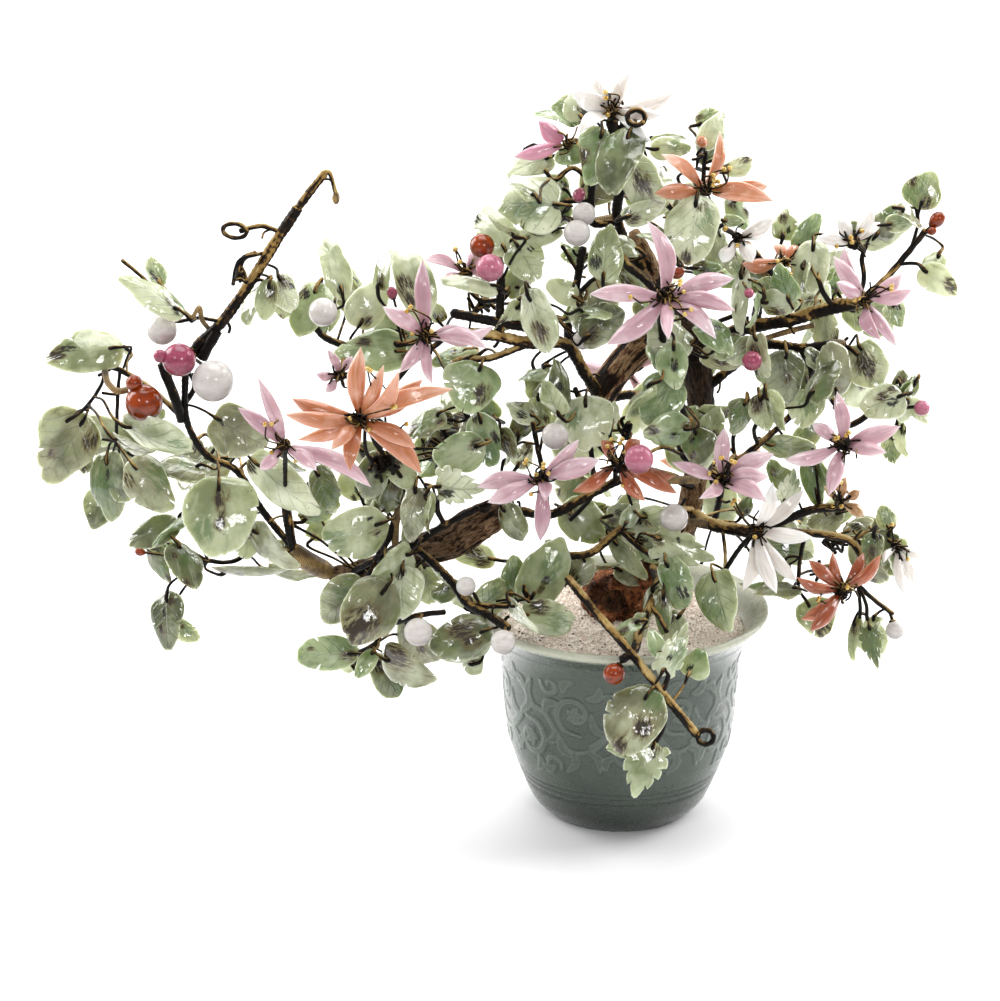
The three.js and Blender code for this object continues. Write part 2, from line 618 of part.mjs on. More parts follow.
// Blooms. The core is a layout point. A petal is the place of its tip on the drawing, how many layers that
// stands in front of the core, and its width.
const BLOOMS = {
  bloom_lilac_side: {
    colour: 'lilac', branch: 'branch_upper_left', core: [340, 376, 26],
    petals: [[328, 350, 4, 6], [316, 374, 4, 6], [352, 356, -2, 6], [326, 392, 6, 6]],
  },
  bloom_coral_left: {
    colour: 'coral', branch: 'branch_upper_left', core: [360, 420, 58],
    petals: [
      [361, 348, 4, 10], [292, 399, 4, 10], [286, 414, 10, 9], [298, 440, 6, 10], [422, 380, 2, 11],
      [452, 388, 8, 10], [422, 473, 4, 11], [415, 447, 10, 10], [350, 470, 12, 9],
    ],
  },
  bloom_pink_left: {
    colour: 'lilac', branch: 'branch_left', core: [285, 445, 44],
    petals: [[257, 378, 2, 9], [238, 408, 0, 9], [316, 470, 10, 9], [372, 487, -4, 10], [260, 470, 4, 8]],
  },
  bloom_lilac_upper: {
    colour: 'lilac', branch: 'branch_upper_left', core: [426, 336, 36],
    petals: [
      [422, 260, -2, 10], [383, 307, 4, 9], [494, 327, 0, 9], [482, 339, 6, 9], [486, 347, 12, 9],
      [400, 372, 8, 8], [432, 384, 4, 8],
    ],
  },
  bloom_pink_behind: {
    colour: 'lilac', branch: 'branch_upper_left', core: [466, 272, 6],
    petals: [[424, 259, 0, 8], [444, 285, 6, 8], [478, 250, -8, 8], [484, 268, -6, 8]],
  },
  bloom_white_crown: {
    colour: 'white', branch: 'branch_crown_left', core: [612, 112, 8],
    petals: [
      [592, 74, 0, 8], [630, 71, 2, 8], [676, 93, 0, 9], [662, 115, 8, 7], [571, 92, 4, 12],
      [579, 132, 12, 9],
    ],
  },
  bloom_pink_crown: {
    colour: 'magenta', branch: 'branch_crown_left', core: [568, 143, 12],
    petals: [[539, 121, 4, 11], [514, 157, 2, 8], [545, 135, -4, 8]],
  },
  bloom_coral_crown: {
    colour: 'coral', branch: 'branch_crown_right', core: [706, 190, 8],
    petals: [
      [661, 154, -2, 9], [655, 193, 6, 9], [720, 132, -4, 9], [768, 186, -2, 10], [773, 200, 4, 12],
    ],
  },
  bloom_lilac_centre: {
    colour: 'lilac', branch: 'branch_trunk', core: [666, 297, 36],
    petals: [
      [648, 221, -2, 10], [734, 278, 0, 10], [734, 311, 6, 11], [716, 338, 10, 10], [668, 338, 20, 8],
      [607, 344, 6, 12], [590, 294, 2, 10],
    ],
  },
  bloom_white_right: {
    colour: 'white', branch: 'branch_right_up', core: [737, 238, 12],
    petals: [[775, 216, 0, 8], [722, 262, 8, 9], [752, 262, 8, 9], [762, 236, -4, 8]],
  },
  bloom_coral_right: {
    colour: 'coral', branch: 'branch_right_up', core: [784, 262, 4],
    petals: [[742, 264, 2, 9], [779, 244, -6, 8], [798, 246, -8, 7]],
  },
  bloom_white_far: {
    colour: 'white', branch: 'branch_right_up', core: [854, 243, 12],
    petals: [[873, 209, -2, 9], [838, 218, 0, 8], [818, 237, 2, 7], [880, 222, -8, 8]],
  },
  bloom_pink_right: {
    colour: 'lilac', branch: 'branch_right_up', core: [864, 300, 28],
    petals: [
      [844, 247, -4, 9], [834, 257, 4, 9], [838, 283, 12, 9], [902, 274, 0, 9], [912, 290, 6, 9],
      [897, 346, 4, 9], [880, 340, 12, 8],
    ],
  },
  bloom_pink_low: {
    colour: 'lilac', branch: 'branch_right_middle', core: [843, 446, 26],
    petals: [
      [837, 392, 0, 9], [900, 427, 4, 11], [886, 452, 12, 9], [812, 424, -2, 8], [785, 460, 6, 9],
      [829, 495, 10, 10],
    ],
  },
  bloom_lilac_front: {
    colour: 'lilac', branch: 'branch_right_middle', core: [722, 480, 38],
    petals: [
      [725, 428, -2, 9], [774, 454, 0, 11], [768, 477, 6, 12], [766, 501, 12, 10], [673, 462, 2, 8],
      [700, 498, 14, 8],
    ],
  },
  bloom_white_low: {
    colour: 'white', branch: 'branch_right_low', core: [756, 531, 30],
    petals: [
      [773, 483, 4, 9], [804, 490, -2, 9], [813, 537, 6, 12], [743, 591, 4, 10], [777, 593, 10, 9],
      [797, 582, 0, 8],
    ],
  },
  bloom_coral_low: {
    colour: 'coral', branch: 'branch_right_low', core: [843, 592, 30],
    petals: [
      [797, 578, 2, 8], [809, 560, -4, 8], [833, 552, -8, 6], [864, 553, -8, 9], [881, 555, -2, 9],
      [802, 620, 8, 9], [811, 631, 14, 9],
    ],
  },
  bloom_white_edge: {
    colour: 'white', branch: 'branch_right_low', core: [896, 546, 16],
    petals: [[914, 586, 4, 7], [904, 594, 10, 6], [924, 560, -2, 7], [884, 562, 12, 5]],
  },
  bloom_orange_bud: {
    colour: 'orange', branch: 'branch_right_low', core: [840, 501, 16],
    petals: [[846, 477, 2, 7], [860, 491, 2, 6], [864, 516, 2, 8], [824, 486, 4, 6]],
  },
  bloom_lilac_middle: {
    colour: 'lilac', branch: 'branch_centre', core: [541, 479, 36],
    petals: [
      [477, 487, -2, 10], [488, 502, 6, 10], [579, 440, -2, 10], [599, 460, 2, 12], [540, 541, 6, 10],
      [545, 500, 14, 8],
    ],
  },
  bloom_coral_centre: {
    colour: 'coral', branch: 'branch_centre', core: [617, 464, 28],
    petals: [
      [573, 491, 4, 9], [644, 501, 8, 9], [677, 493, 4, 10], [675, 476, -2, 10], [602, 440, 0, 8],
      [640, 440, -6, 8],
    ],
  },
  bloom_lilac_back: {
    colour: 'lilac', branch: 'branch_back', core: [628, 372, -84],
    petals: [
      [628, 318, -4, 10], [678, 350, -4, 10], [664, 415, -4, 10], [600, 425, -4, 10], [575, 362, -4, 10],
    ],
  },
  bloom_coral_back: {
    colour: 'coral', branch: 'branch_back', core: [712, 470, -84],
    petals: [
      [712, 416, -4, 10], [762, 448, -4, 10], [748, 513, -4, 10], [684, 523, -4, 10], [659, 460, -4, 10],
    ],
  },
};

// Beads, as [u, v, layer, radius]; touching beads of one colour are one piece
const BEADS = {
  bead_white_far_left: { colour: 'white', branch: 'branch_left', balls: [[162, 330, 24, 7.3]] },
  bead_white_left: { colour: 'white', branch: 'branch_left', balls: [[213, 381, 34, 10]] },
  bead_white_upper: { colour: 'white', branch: 'branch_upper_left', balls: [[323, 312, 34, 6.8]] },
  bead_white_bough: { colour: 'white', branch: 'branch_bough', balls: [[418, 632, 50, 6.8]] },
  bead_white_rim: { colour: 'white', branch: 'branch_bough', balls: [[503, 642, 58, 6]] },
  bead_white_capped: { colour: 'white', branch: 'branch_bough', balls: [[466, 586, 40, 4.8]] },
  bead_white_pair: {
    colour: 'white', branch: 'branch_crown_left', balls: [[577, 233, 18, 6.4], [584, 214, 14, 5.6]],
  },
  bead_white_middle: { colour: 'white', branch: 'branch_centre', balls: [[555, 436, 24, 6.6]] },
  bead_white_centre: { colour: 'white', branch: 'branch_middle', balls: [[674, 518, 18, 7]] },
  bead_white_low: { colour: 'white', branch: 'branch_right_low', balls: [[895, 630, 16, 4.8]] },
  bead_magenta_left: {
    colour: 'magenta', branch: 'branch_left', balls: [[179, 360, 34, 8], [160, 356, 36, 3.2]],
  },
  bead_magenta_upper: { colour: 'magenta', branch: 'branch_upper_left', balls: [[490, 268, 30, 6.6]] },
  bead_magenta_centre: { colour: 'magenta', branch: 'branch_trunk', balls: [[639, 459, 48, 6.9]] },
  bead_magenta_right: { colour: 'magenta', branch: 'branch_trunk', balls: [[752, 361, 24, 4.8]] },
  bead_magenta_far: { colour: 'magenta', branch: 'branch_right_middle', balls: [[922, 408, 16, 3.9]] },
  bead_orange_left: {
    colour: 'orange', branch: 'branch_left', balls: [[144, 403, 30, 9], [134, 383, 30, 4]],
  },
  bead_orange_upper: { colour: 'orange', branch: 'branch_upper_left', balls: [[482, 246, 20, 6]] },
  bead_orange_front: { colour: 'orange', branch: 'branch_front', balls: [[614, 674, 64, 5.3]] },
};

function belongsTo(name) {
  return (entry) => entry.branch === name;
}

// A branch: its wires, leaves and buds in one body, with a seat for each bloom and bead that it carries
function branch(name) {
  const { stems, leaves, buds } = BRANCHES[name];
  const spots = wireSpots(stems);
  const cores = Object.values(BLOOMS).filter(belongsTo(name)).map(({ core }) => core);
  const beads = Object.values(BEADS).filter(belongsTo(name)).map(({ balls }) => balls);
  const carried = [...buds, ...cores, ...beads.map(([first]) => first)];
  const parts = [
    ...stems.map(wire),
    ...leaves.map(leafFrame).map((frame) => leaf(spots, frame)),
    ...buds.map(octahedron),
    ...carried.map(([u, v, layer]) => twig(spots, at([u, v, layer]))),
  ];
  const seats = [
    ...cores.map((core) => octahedron([...core, BLOOM_CORE_RADIUS + GAP * Math.sqrt(3)])),
    ...beads.flat().map(([u, v, layer, radius]) => ball([u, v, layer, radius + GAP])),
  ];
  return oneBody(parts, seats);
}

// Wood: a limb is a ridged rod whose radius changes along its curve

function limb({ points, radii }) {
  const curve = new THREE.CatmullRomCurve3(points.map(at));
  const steps = points.length - 1;
  const frames = curve.computeFrenetFrames(steps);
  const geometry = new THREE.CylinderGeometry(1, 1, 1, WOOD_SIDES, steps);
  const position = geometry.attributes.position;
  for (let i = 0; i < position.count; i += 1) {
    const along = position.getY(i) + 0.5;
    const step = Math.round(along * steps);
    const reach = Math.hypot(position.getX(i), position.getZ(i));
    const angle = Math.atan2(position.getX(i), position.getZ(i));
    const place = along * (radii.length - 1);
    const low = Math.min(Math.floor(place), radii.length - 2);
    const radius = THREE.MathUtils.lerp(radii[low], radii[low + 1], place - low)
      * (1 + WOOD_RIDGE * Math.cos(3 * angle + 2.1 * step) * Math.cos(1.7 * step + angle));
    const point = curve.getPointAt(along)
      .addScaledVector(frames.normals[step], reach * radius * Math.cos(angle))
      .addScaledVector(frames.binormals[step], reach * radius * Math.sin(angle));
    position.setXYZ(i, point.x, point.y, point.z);
  }
  return solid(geometry);
}

const TRUNK = [
  {
    points: [[620, 612, -10], [640, 580, -12], [672, 545, -14], [690, 510, -14], [697, 460, -14]],
    radii: [13, 13, 11, 7.5, 6.6, 6.6],
  },
  {
    points: [[697, 470, -14], [702, 420, -14], [699, 375, -14], [690, 338, -14], [668, 312, -16]],
    radii: [6.6, 6.8, 7.2, 7.2, 7],
  },
  {
    points: [
      [598, 397, -12], [622, 364, -14], [650, 331, -16], [662, 300, -16], [648, 262, -14], [632, 232, -12],
    ],
    radii: [7.4, 7.8, 7.6, 6.6, 4.6, 3],
  },
  { points: [[612, 598, -22], [615, 600, -2]], radii: [15, 13.5] },
];
const BOUGH = {
  points: [[332, 577, 5], [370, 569, 5], [410, 553, 5], [450, 540, 4], [478, 524, 5], [501, 511, 6]],
  radii: [5, 6.2, 6.4, 9, 9.4, 7],
};
const TRUNK_FOOT = [616, 612, -12];

function rootPeg(grow) {
  const radius = ROOT_PEG.radius + grow;
  const peg = new THREE.CylinderGeometry(radius, radius, ROOT_PEG.depth + 2 * grow, ROOT_PEG.sides);
  peg.rotateX(Math.PI / 2);
  const foot = at(TRUNK_FOOT);
  peg.translate(foot.x, foot.y, GRAVEL_TOP - ROOT_PEG.depth / 2 + 1);
  return solid(peg);
}

function upperHalf(height) {
  const size = 1000;
  return solid(new THREE.BoxGeometry(size, size, size).translate(0, 0, height + size / 2));
}

// Channels that the branch wires pass through in the wood
function wireChannels() {
  const stems = Object.values(BRANCHES).map(({ stems: [first] }) => first);
  return fuse(stems.map(channel));
}

function trunk(channels) {
  const above = fuse(TRUNK.map(limb)).intersect(upperHalf(GRAVEL_TOP + GAP));
  return oneBody([above, rootPeg(0)], [channels]);
}

function bough(channels) {
  return oneBody([limb(BOUGH)], [channels]);
}

// Pot and gravel

const OUTER_PROFILE = [
  [37, 0], [45, 7.5], [50.5, 20], [56.6, 36], [59.6, 62], [61, 84], [66, 97], [RIM_RADIUS, 107],
];
const INNER_PROFILE = [[73.5, POT_HEIGHT], [64.5, 102], [57, 88], [52, 40], [36, 10]];

function pot() {
  const points = [[0, 0], ...OUTER_PROFILE, ...INNER_PROFILE, [0, POT_FLOOR]];
  const profile = points.map(([radius, height]) => new THREE.Vector2(radius, height));
  return solid(new THREE.LatheGeometry(profile, POT_SIDES).rotateX(Math.PI / 2));
}

function gravel() {
  const inset = GAP + 0.1;
  const wall = INNER_PROFILE.filter(([, height]) => height < GRAVEL_TOP)
    .map(([radius, height]) => new THREE.Vector2(radius - inset, height + inset / 2)).reverse();
  const profile = [
    new THREE.Vector2(0, POT_FLOOR + inset),
    ...wall,
    new THREE.Vector2(GRAVEL_EDGE.radius, GRAVEL_TOP - GRAVEL_EDGE.drop),
    new THREE.Vector2(0, GRAVEL_TOP),
  ];
  return solid(new THREE.LatheGeometry(profile, POT_SIDES).rotateX(Math.PI / 2)).subtract(rootPeg(GAP));
}

const group = new THREE.Group();
const channels = wireChannels();
group.add(mesh('pot', pot(), COLOURS.celadon, 0.25));
group.add(mesh('gravel', gravel(), COLOURS.gravel, 0.95));
group.add(mesh('trunk', trunk(channels), COLOURS.wood, 0.8));
group.add(mesh('bough', bough(channels), COLOURS.wood, 0.8));
for (const name of Object.keys(BRANCHES)) {
  group.add(mesh(name, branch(name), COLOURS.jade, 0.2));
}
for (const [name, entry] of Object.entries(BLOOMS)) {
  group.add(mesh(name, bloom(entry), COLOURS[entry.colour], 0.15));
}
for (const [name, { balls, colour }] of Object.entries(BEADS)) {
  group.add(mesh(name, oneBody(balls.map(ball)), COLOURS[colour], 0.15));
}

export default group;
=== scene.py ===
import math

import bpy
import numpy as np
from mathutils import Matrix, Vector


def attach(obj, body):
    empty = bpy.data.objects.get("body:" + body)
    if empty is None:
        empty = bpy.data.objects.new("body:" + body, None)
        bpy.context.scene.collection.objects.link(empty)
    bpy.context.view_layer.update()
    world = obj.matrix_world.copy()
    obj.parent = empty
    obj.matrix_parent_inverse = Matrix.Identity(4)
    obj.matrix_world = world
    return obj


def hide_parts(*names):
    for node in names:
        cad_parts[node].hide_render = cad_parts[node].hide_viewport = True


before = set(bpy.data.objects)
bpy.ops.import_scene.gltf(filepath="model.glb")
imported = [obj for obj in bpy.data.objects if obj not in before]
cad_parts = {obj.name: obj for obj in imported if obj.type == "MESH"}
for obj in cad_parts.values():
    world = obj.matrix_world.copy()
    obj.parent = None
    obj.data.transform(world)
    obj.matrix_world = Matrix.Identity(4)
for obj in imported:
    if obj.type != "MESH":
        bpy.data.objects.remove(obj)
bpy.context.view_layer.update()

# The tree is laid out on a drawing of its front, in the same way as its solids. A layout point is
# [u, v, layer]: u to the right and v down on the drawing, then the layer that it is in, counted from the
# pot's axis to the front. All lengths in this file are millimetres until a mesh is made.
LAYER = 1.4
EYE = np.array([-61.3, -1311.7, 601.1])
EYE_PITCH = math.radians(18.4)
DRAWING_FOCUS = 2761.0
DRAWING_U, DRAWING_V = 500.0, 500.5
DRAWING_SIZE = 1001.0
SENSOR = 36.0
PIXEL = 0.52  # millimetres that one unit of the drawing covers at the tree
RIGHT = np.array([1.0, 0.0, 0.0])
UP = np.array([0.0, math.sin(EYE_PITCH), math.cos(EYE_PITCH)])
TO_EYE = np.array([0.0, -math.cos(EYE_PITCH), math.sin(EYE_PITCH)])
METRE = 1e-3

LEAF_ARCH = 0.1  # rise of a leaf's middle, in parts of its length
LEAF_LEAN = 16  # degrees that leaves lean and turn to either side of the layout
LEAF_TURN = 20
GRAVEL_TOP = 100.0
GRAVEL_RADIUS = 64.0

# Last numbers of the key of each kind of random draw
DRAWS = {
    "leaf": [11], "hook": [23], "roll": [37], "petal": [41], "claw": [47], "stamen": [53], "knot": [71],
    "bloom": [], "inclusions": [5], "tone": [71], "behind": [61], "sidelong": [67], "twigs": [83],
    "tangle": [89],
}


def at(point):
    u, v, layer = point
    sight = -TO_EYE + RIGHT * (u - DRAWING_U) / DRAWING_FOCUS + UP * (DRAWING_V - v) / DRAWING_FOCUS
    return EYE + sight * ((-layer * LAYER - EYE[1]) / sight[1])


def unit(vector):
    return vector / np.linalg.norm(vector, axis=-1, keepdims=True)


def smooth(low, high, value):
    t = np.clip((value - low) / (high - low), 0, 1)
    return t * t * (3 - 2 * t)


def random(kind, *key):
    return np.random.default_rng([abs(int(round(k * 10))) + 7 for k in (*key, *DRAWS[kind])])


def travelled(path):
    """Length of a path up to each of its points."""
    return np.r_[0, np.cumsum(np.linalg.norm(np.diff(path, axis=0), axis=1))]


# Value noise, from 0 to 1
def lattice(i, j, k, seed):
    n = (i * 374761393 + j * 668265263 + k * 1103515245 + seed * 951274213) & 0xFFFFFFFF
    n = ((n ^ (n >> 13)) * 1274126177) & 0xFFFFFFFF
    return ((n ^ (n >> 16)) & 0xFFFF) / 65535.0


def noise(points, size, seed):
    scaled = np.asarray(points, float) / size
    cell = np.floor(scaled).astype(np.int64)
    t = scaled - cell
    t = t * t * (3 - 2 * t)
    total = 0.0
    for corner in range(8):
        a, b, c = corner & 1, (corner >> 1) & 1, corner >> 2
        weight = (
            (t[..., 0] if a else 1 - t[..., 0])
            * (t[..., 1] if b else 1 - t[..., 1])
            * (t[..., 2] if c else 1 - t[..., 2])
        )
        total = total + weight * lattice(cell[..., 0] + a, cell[..., 1] + b, cell[..., 2] + c, seed)
    return total


# Curves


def curve(knots, step):
    """Points every `step` along a centripetal Catmull-Rom curve through the knots."""
    p = np.array(knots, float)
    p = np.vstack([2 * p[0] - p[1], p, 2 * p[-1] - p[-2]])
    found = []
    for i in range(1, len(p) - 2):
        x0, x1, x2, x3 = p[i - 1 : i + 3]
        d0, d1, d2 = (max(1e-3, math.sqrt(np.linalg.norm(b - a))) for a, b in ((x0, x1), (x1, x2), (x2, x3)))
        t1 = ((x1 - x0) / d0 - (x2 - x0) / (d0 + d1) + (x2 - x1) / d1) * d1
        t2 = ((x2 - x1) / d1 - (x3 - x1) / (d1 + d2) + (x3 - x2) / d2) * d1
        t = np.linspace(0, 1, 25)[:-1, None]
        found.append(
            x1 + t1 * t + (3 * x2 - 3 * x1 - 2 * t1 - t2) * t**2 + (2 * x1 - 2 * x2 + t1 + t2) * t**3
        )
    dense = np.vstack([*found, p[-2:-1]])
    gone = travelled(dense)
    count = max(3, int(round(gone[-1] / step)) + 1)
    want = np.linspace(0, gone[-1], count)
    return np.stack([np.interp(want, gone, dense[:, k]) for k in range(3)], axis=1)


def transported(path):
    """Two axes across the path at each of its points, carried along it without a twist."""
    tangents = unit(np.gradient(path, axis=0))
    helper = RIGHT if abs(tangents[0] @ RIGHT) < 0.8 else UP
    first = unit(np.cross(tangents[0], helper))
    across = [first]
    for tangent in tangents[1:]:
        last = across[-1]
        across.append(unit(last - tangent * (last @ tangent)))
    across = np.array(across)
    return tangents, across, np.cross(tangents, across)


# Meshes


class Piece:
    """Points, faces and per-point patterns of one piece. A face has four corners; -1 leaves the last out."""

    def __init__(self):
        self.points, self.faces, self.slots, self.spots, self.marks = [], [], [], [], []
        self.count = 0

    def add(self, points, faces, slot, spot, marks=None):
        n = len(points)
        faces = np.asarray(faces, np.int64)
        self.points.append(np.asarray(points, float))
        self.faces.append(np.where(faces >= 0, faces + self.count, -1))
        self.slots.append(np.full(len(faces), slot))
        self.spots.append(np.zeros((n, 3)) if spot is None else np.asarray(spot, float))
        self.marks.append(np.zeros((n, 3)) if marks is None else np.asarray(marks, float))
        self.count += n

    def build(self, name, materials, nodes=()):
        faces = np.concatenate(self.faces)
        mesh = bpy.data.meshes.new(name)
        corners = [face[:3] if face[3] < 0 else face for face in faces.tolist()]
        mesh.from_pydata((np.concatenate(self.points) * METRE).tolist(), [], corners)
        for key, rows in (("spot", self.spots), ("marks", self.marks)):
            layer = mesh.attributes.new(key, "FLOAT_VECTOR", "POINT")
            layer.data.foreach_set("vector", np.concatenate(rows).astype(np.float32).ravel())
        for material in materials:
            mesh.materials.append(material)
        mesh.polygons.foreach_set("material_index", np.concatenate(self.slots).astype(np.int32))
        mesh.polygons.foreach_set("use_smooth", np.ones(len(corners), bool))
        mesh.update()
        made = bpy.data.objects.new(name, mesh)
        bpy.context.scene.collection.objects.link(made)
        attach(made, "root")
        if nodes:
            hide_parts(*nodes)
        return made


def fan(ring, tip, flip):
    after = np.roll(ring, -1)
    order = [after, ring] if flip else [ring, after]
    return np.stack([*order, np.full(len(ring), tip), np.full(len(ring), -1)], axis=1)


def closed_faces(rows, columns, flip=False):
    """Faces of a grid whose columns go round, closed at each end by a point that follows the grid."""
    grid = np.arange(rows * columns).reshape(rows, columns)
    right = np.roll(grid, -1, axis=1)
    wall = np.stack([grid[:-1], right[:-1], right[1:], grid[1:]], axis=-1).reshape(-1, 4)
    ends = [fan(grid[0], rows * columns, not flip), fan(grid[-1], rows * columns + 1, flip)]
    return np.vstack([wall[:, ::-1] if flip else wall, *ends])


def tube(piece, path, radius, sides, slot=0, seed=0.0, nose=0.5):
    """A closed round body along a path. `radius` is a number, one for each point, or a grid."""
    n = len(path)
    tangents, across, over = transported(path)
    radius = np.asarray(radius, float)
    radius = np.broadcast_to(radius[:, None] if radius.ndim == 1 else radius, (n, sides))
    angle = np.arange(sides) / sides * 2 * math.pi
    ring = across[:, None] * np.cos(angle)[:, None] + over[:, None] * np.sin(angle)[:, None]
    body = path[:, None] + ring * radius[..., None]
    ends = np.stack(
        [path[0] - tangents[0] * radius[0].mean() * nose, path[-1] + tangents[-1] * radius[-1].mean() * nose]
    )
    points = np.vstack([body.reshape(-1, 3), ends])
    gone = travelled(path)
    spot = np.empty((n, sides, 3))
    spot[..., 0] = gone[:, None]
    spot[..., 1] = np.arange(sides) / sides
    spot[..., 2] = seed
    spot = np.vstack([spot.reshape(-1, 3), [[0, 0.5, seed], [gone[-1], 0.5, seed]]])
    piece.add(points, closed_faces(n, sides), slot, spot)


def globe(piece, centre, radii, axis, slot, seed, meridians, bands, wobble=0.03):
    """A closed round body with its poles on `axis`; `radii` are across and along it."""
    axis = unit(np.asarray(axis, float))
    side = unit(np.cross(axis, RIGHT if abs(axis @ RIGHT) < 0.8 else UP))
    other = np.cross(axis, side)
    polar = np.linspace(0, math.pi, bands + 1)[1:-1]
    round_ = np.arange(meridians) / meridians * 2 * math.pi
    out = (
        side * (np.sin(polar)[:, None, None] * np.cos(round_)[None, :, None])
        + other * (np.sin(polar)[:, None, None] * np.sin(round_)[None, :, None])
    ) * radii[0] + axis * np.cos(polar)[:, None, None] * radii[1]
    out = np.vstack([out.reshape(-1, 3), axis * radii[1], -axis * radii[1]])
    out = out * (1 + wobble * (noise(out + 31 * seed, radii[0] * 0.9, 5) - 0.5))[:, None]
    marks = np.zeros_like(out)
    marks[:, 2] = seed
    piece.add(centre + out, closed_faces(len(polar), meridians, True), slot, out / max(radii), marks)


# Wires, leaves, petals and beads

DARK_SLOT, THREAD_SLOT = 0, 1  # materials of a branch's wires
FINE = 6  # sides of a thin wire
STOUT = 1.5  # a wire thicker than this is drawn more finely
PITCH = 1.5  # of the thread round a wire
COIL_RISE = 0.25  # of a loop, for each radian


def wire(piece, path, radius, slot, seed, end=1.0):
    """A wire wound with thread: its turns stand out as a low screw. `end` is the share left at its end."""
    sides = 9 if radius > STOUT else FINE
    turns = np.sin(2 * math.pi * (travelled(path)[:, None] / PITCH + np.arange(sides) / sides))
    lumps = noise(path + seed, 4.0, 3)[:, None] - 0.5
    taper = 1 - (1 - end) * smooth(0.55, 0.75, np.linspace(0, 1, len(path)))[:, None]
    tube(piece, path, radius * taper * (1 + 0.06 * turns + 0.22 * lumps), sides, slot, seed)


def coil(piece, centre, radii, tilt, radius, turns):
    """A loop of wire that faces the front, or a coil if it has several turns."""
    a = np.linspace(0, 2 * math.pi * turns, int(26 * turns))
    x = np.cos(a) * radii[0]
    y = np.sin(a) * radii[1]
    c, s = math.cos(math.radians(tilt)), math.sin(math.radians(tilt))
    path = centre + np.outer(c * x - s * y, RIGHT) + np.outer(s * x + c * y, UP)
    path = path + np.outer(a * COIL_RISE, TO_EYE)
    tube(piece, path, radius * (1 + 0.1 * np.sin(7 * a)), 8, DARK_SLOT, 3.0)


def blade_axes(axis, roll):
    front = unit(TO_EYE - axis * (TO_EYE @ axis))
    c, s = math.cos(roll), math.sin(roll)
    face = front * c + np.cross(axis, front) * s
    return face, np.cross(face, axis)


def leaf_frame(entry, index):
    u, v, layer, direction, length, width, tilt, roll = entry
    heading = math.radians(direction)
    rise = math.radians(tilt + LEAF_LEAN * math.sin(3.1 * index))
    turn = math.radians(roll + LEAF_TURN * math.sin(2.1 * index + 1))
    axis = (
        RIGHT * math.cos(heading) * math.cos(rise)
        + UP * math.sin(heading) * math.cos(rise)
        + TO_EYE * math.sin(rise)
    )
    face, side = blade_axes(axis, turn)
    return at([u, v, layer]) - axis * length / 2, axis, face, side, length, width


def outline(style, rng, steps):
    """Corners of a leaf's edge: [angle from the base round the tip, reach in parts of the full outline]."""
    if style == "cut":
        corners = [[0.0, 0.9]]
        for flank in (1, -1):
            starts = np.linspace(0.5, 2.8, 6) + rng.uniform(-0.08, 0.08, 6)
            for start, end in zip(starts[:-1], starts[1:]):
                gap = end - start
                corners.append([flank * start, rng.uniform(0.74, 0.84)])
                corners.append([flank * (start + 0.16 * gap), 0.95])
                corners.append([flank * (start + 0.4 * gap), 1.02])
                corners.append([flank * (start + 0.65 * gap), 1.06])
                corners.append([flank * (start + 0.88 * gap), 1.08])
        corners.append([math.pi, 1.06])
        return np.array(sorted([a % (2 * math.pi), reach] for a, reach in corners))
    angle = np.linspace(0, 2 * math.pi, steps + 1)[:-1]
    waves = ((2, 0.03), (3, 0.035), (5, 0.022), (8, 0.012))
    reach = 1.0 + sum(size * np.sin(k * angle + rng.uniform(0, 6.3)) for k, size in waves)
    for _ in range(rng.integers(0, 3)):
        cleft = rng.uniform(1.5, 4.8)
        reach -= rng.uniform(0.06, 0.16) * np.exp(-np.abs(angle - cleft) / 0.14)
    corners = np.column_stack([angle, reach]).tolist()
    slits = {"plain": rng.integers(0, 3), "slit": rng.integers(3, 6)}[style]
    for _ in range(slits):
        a = rng.uniform(1.3, 2 * math.pi - 1.3)
        edge = np.interp(a, angle, reach)
        corners = [c for c in corners if abs(c[0] - a) > 0.1]
        corners += [[a - 0.055, edge], [a - 0.01, edge * rng.uniform(0.62, 0.82)], [a + 0.035, edge * 0.985]]
    return np.array(sorted(corners))


FRONT_RINGS = (0.2, 0.42, 0.62, 0.78, 0.9, 0.965)  # rings of a leaf's mesh, in parts of its outline
BACK_RINGS = (0.965, 0.84, 0.5)
LEAF_THICKNESS = 0.95
LARGE_LEAF = 24  # leaves longer than this have a finer edge and are thicker


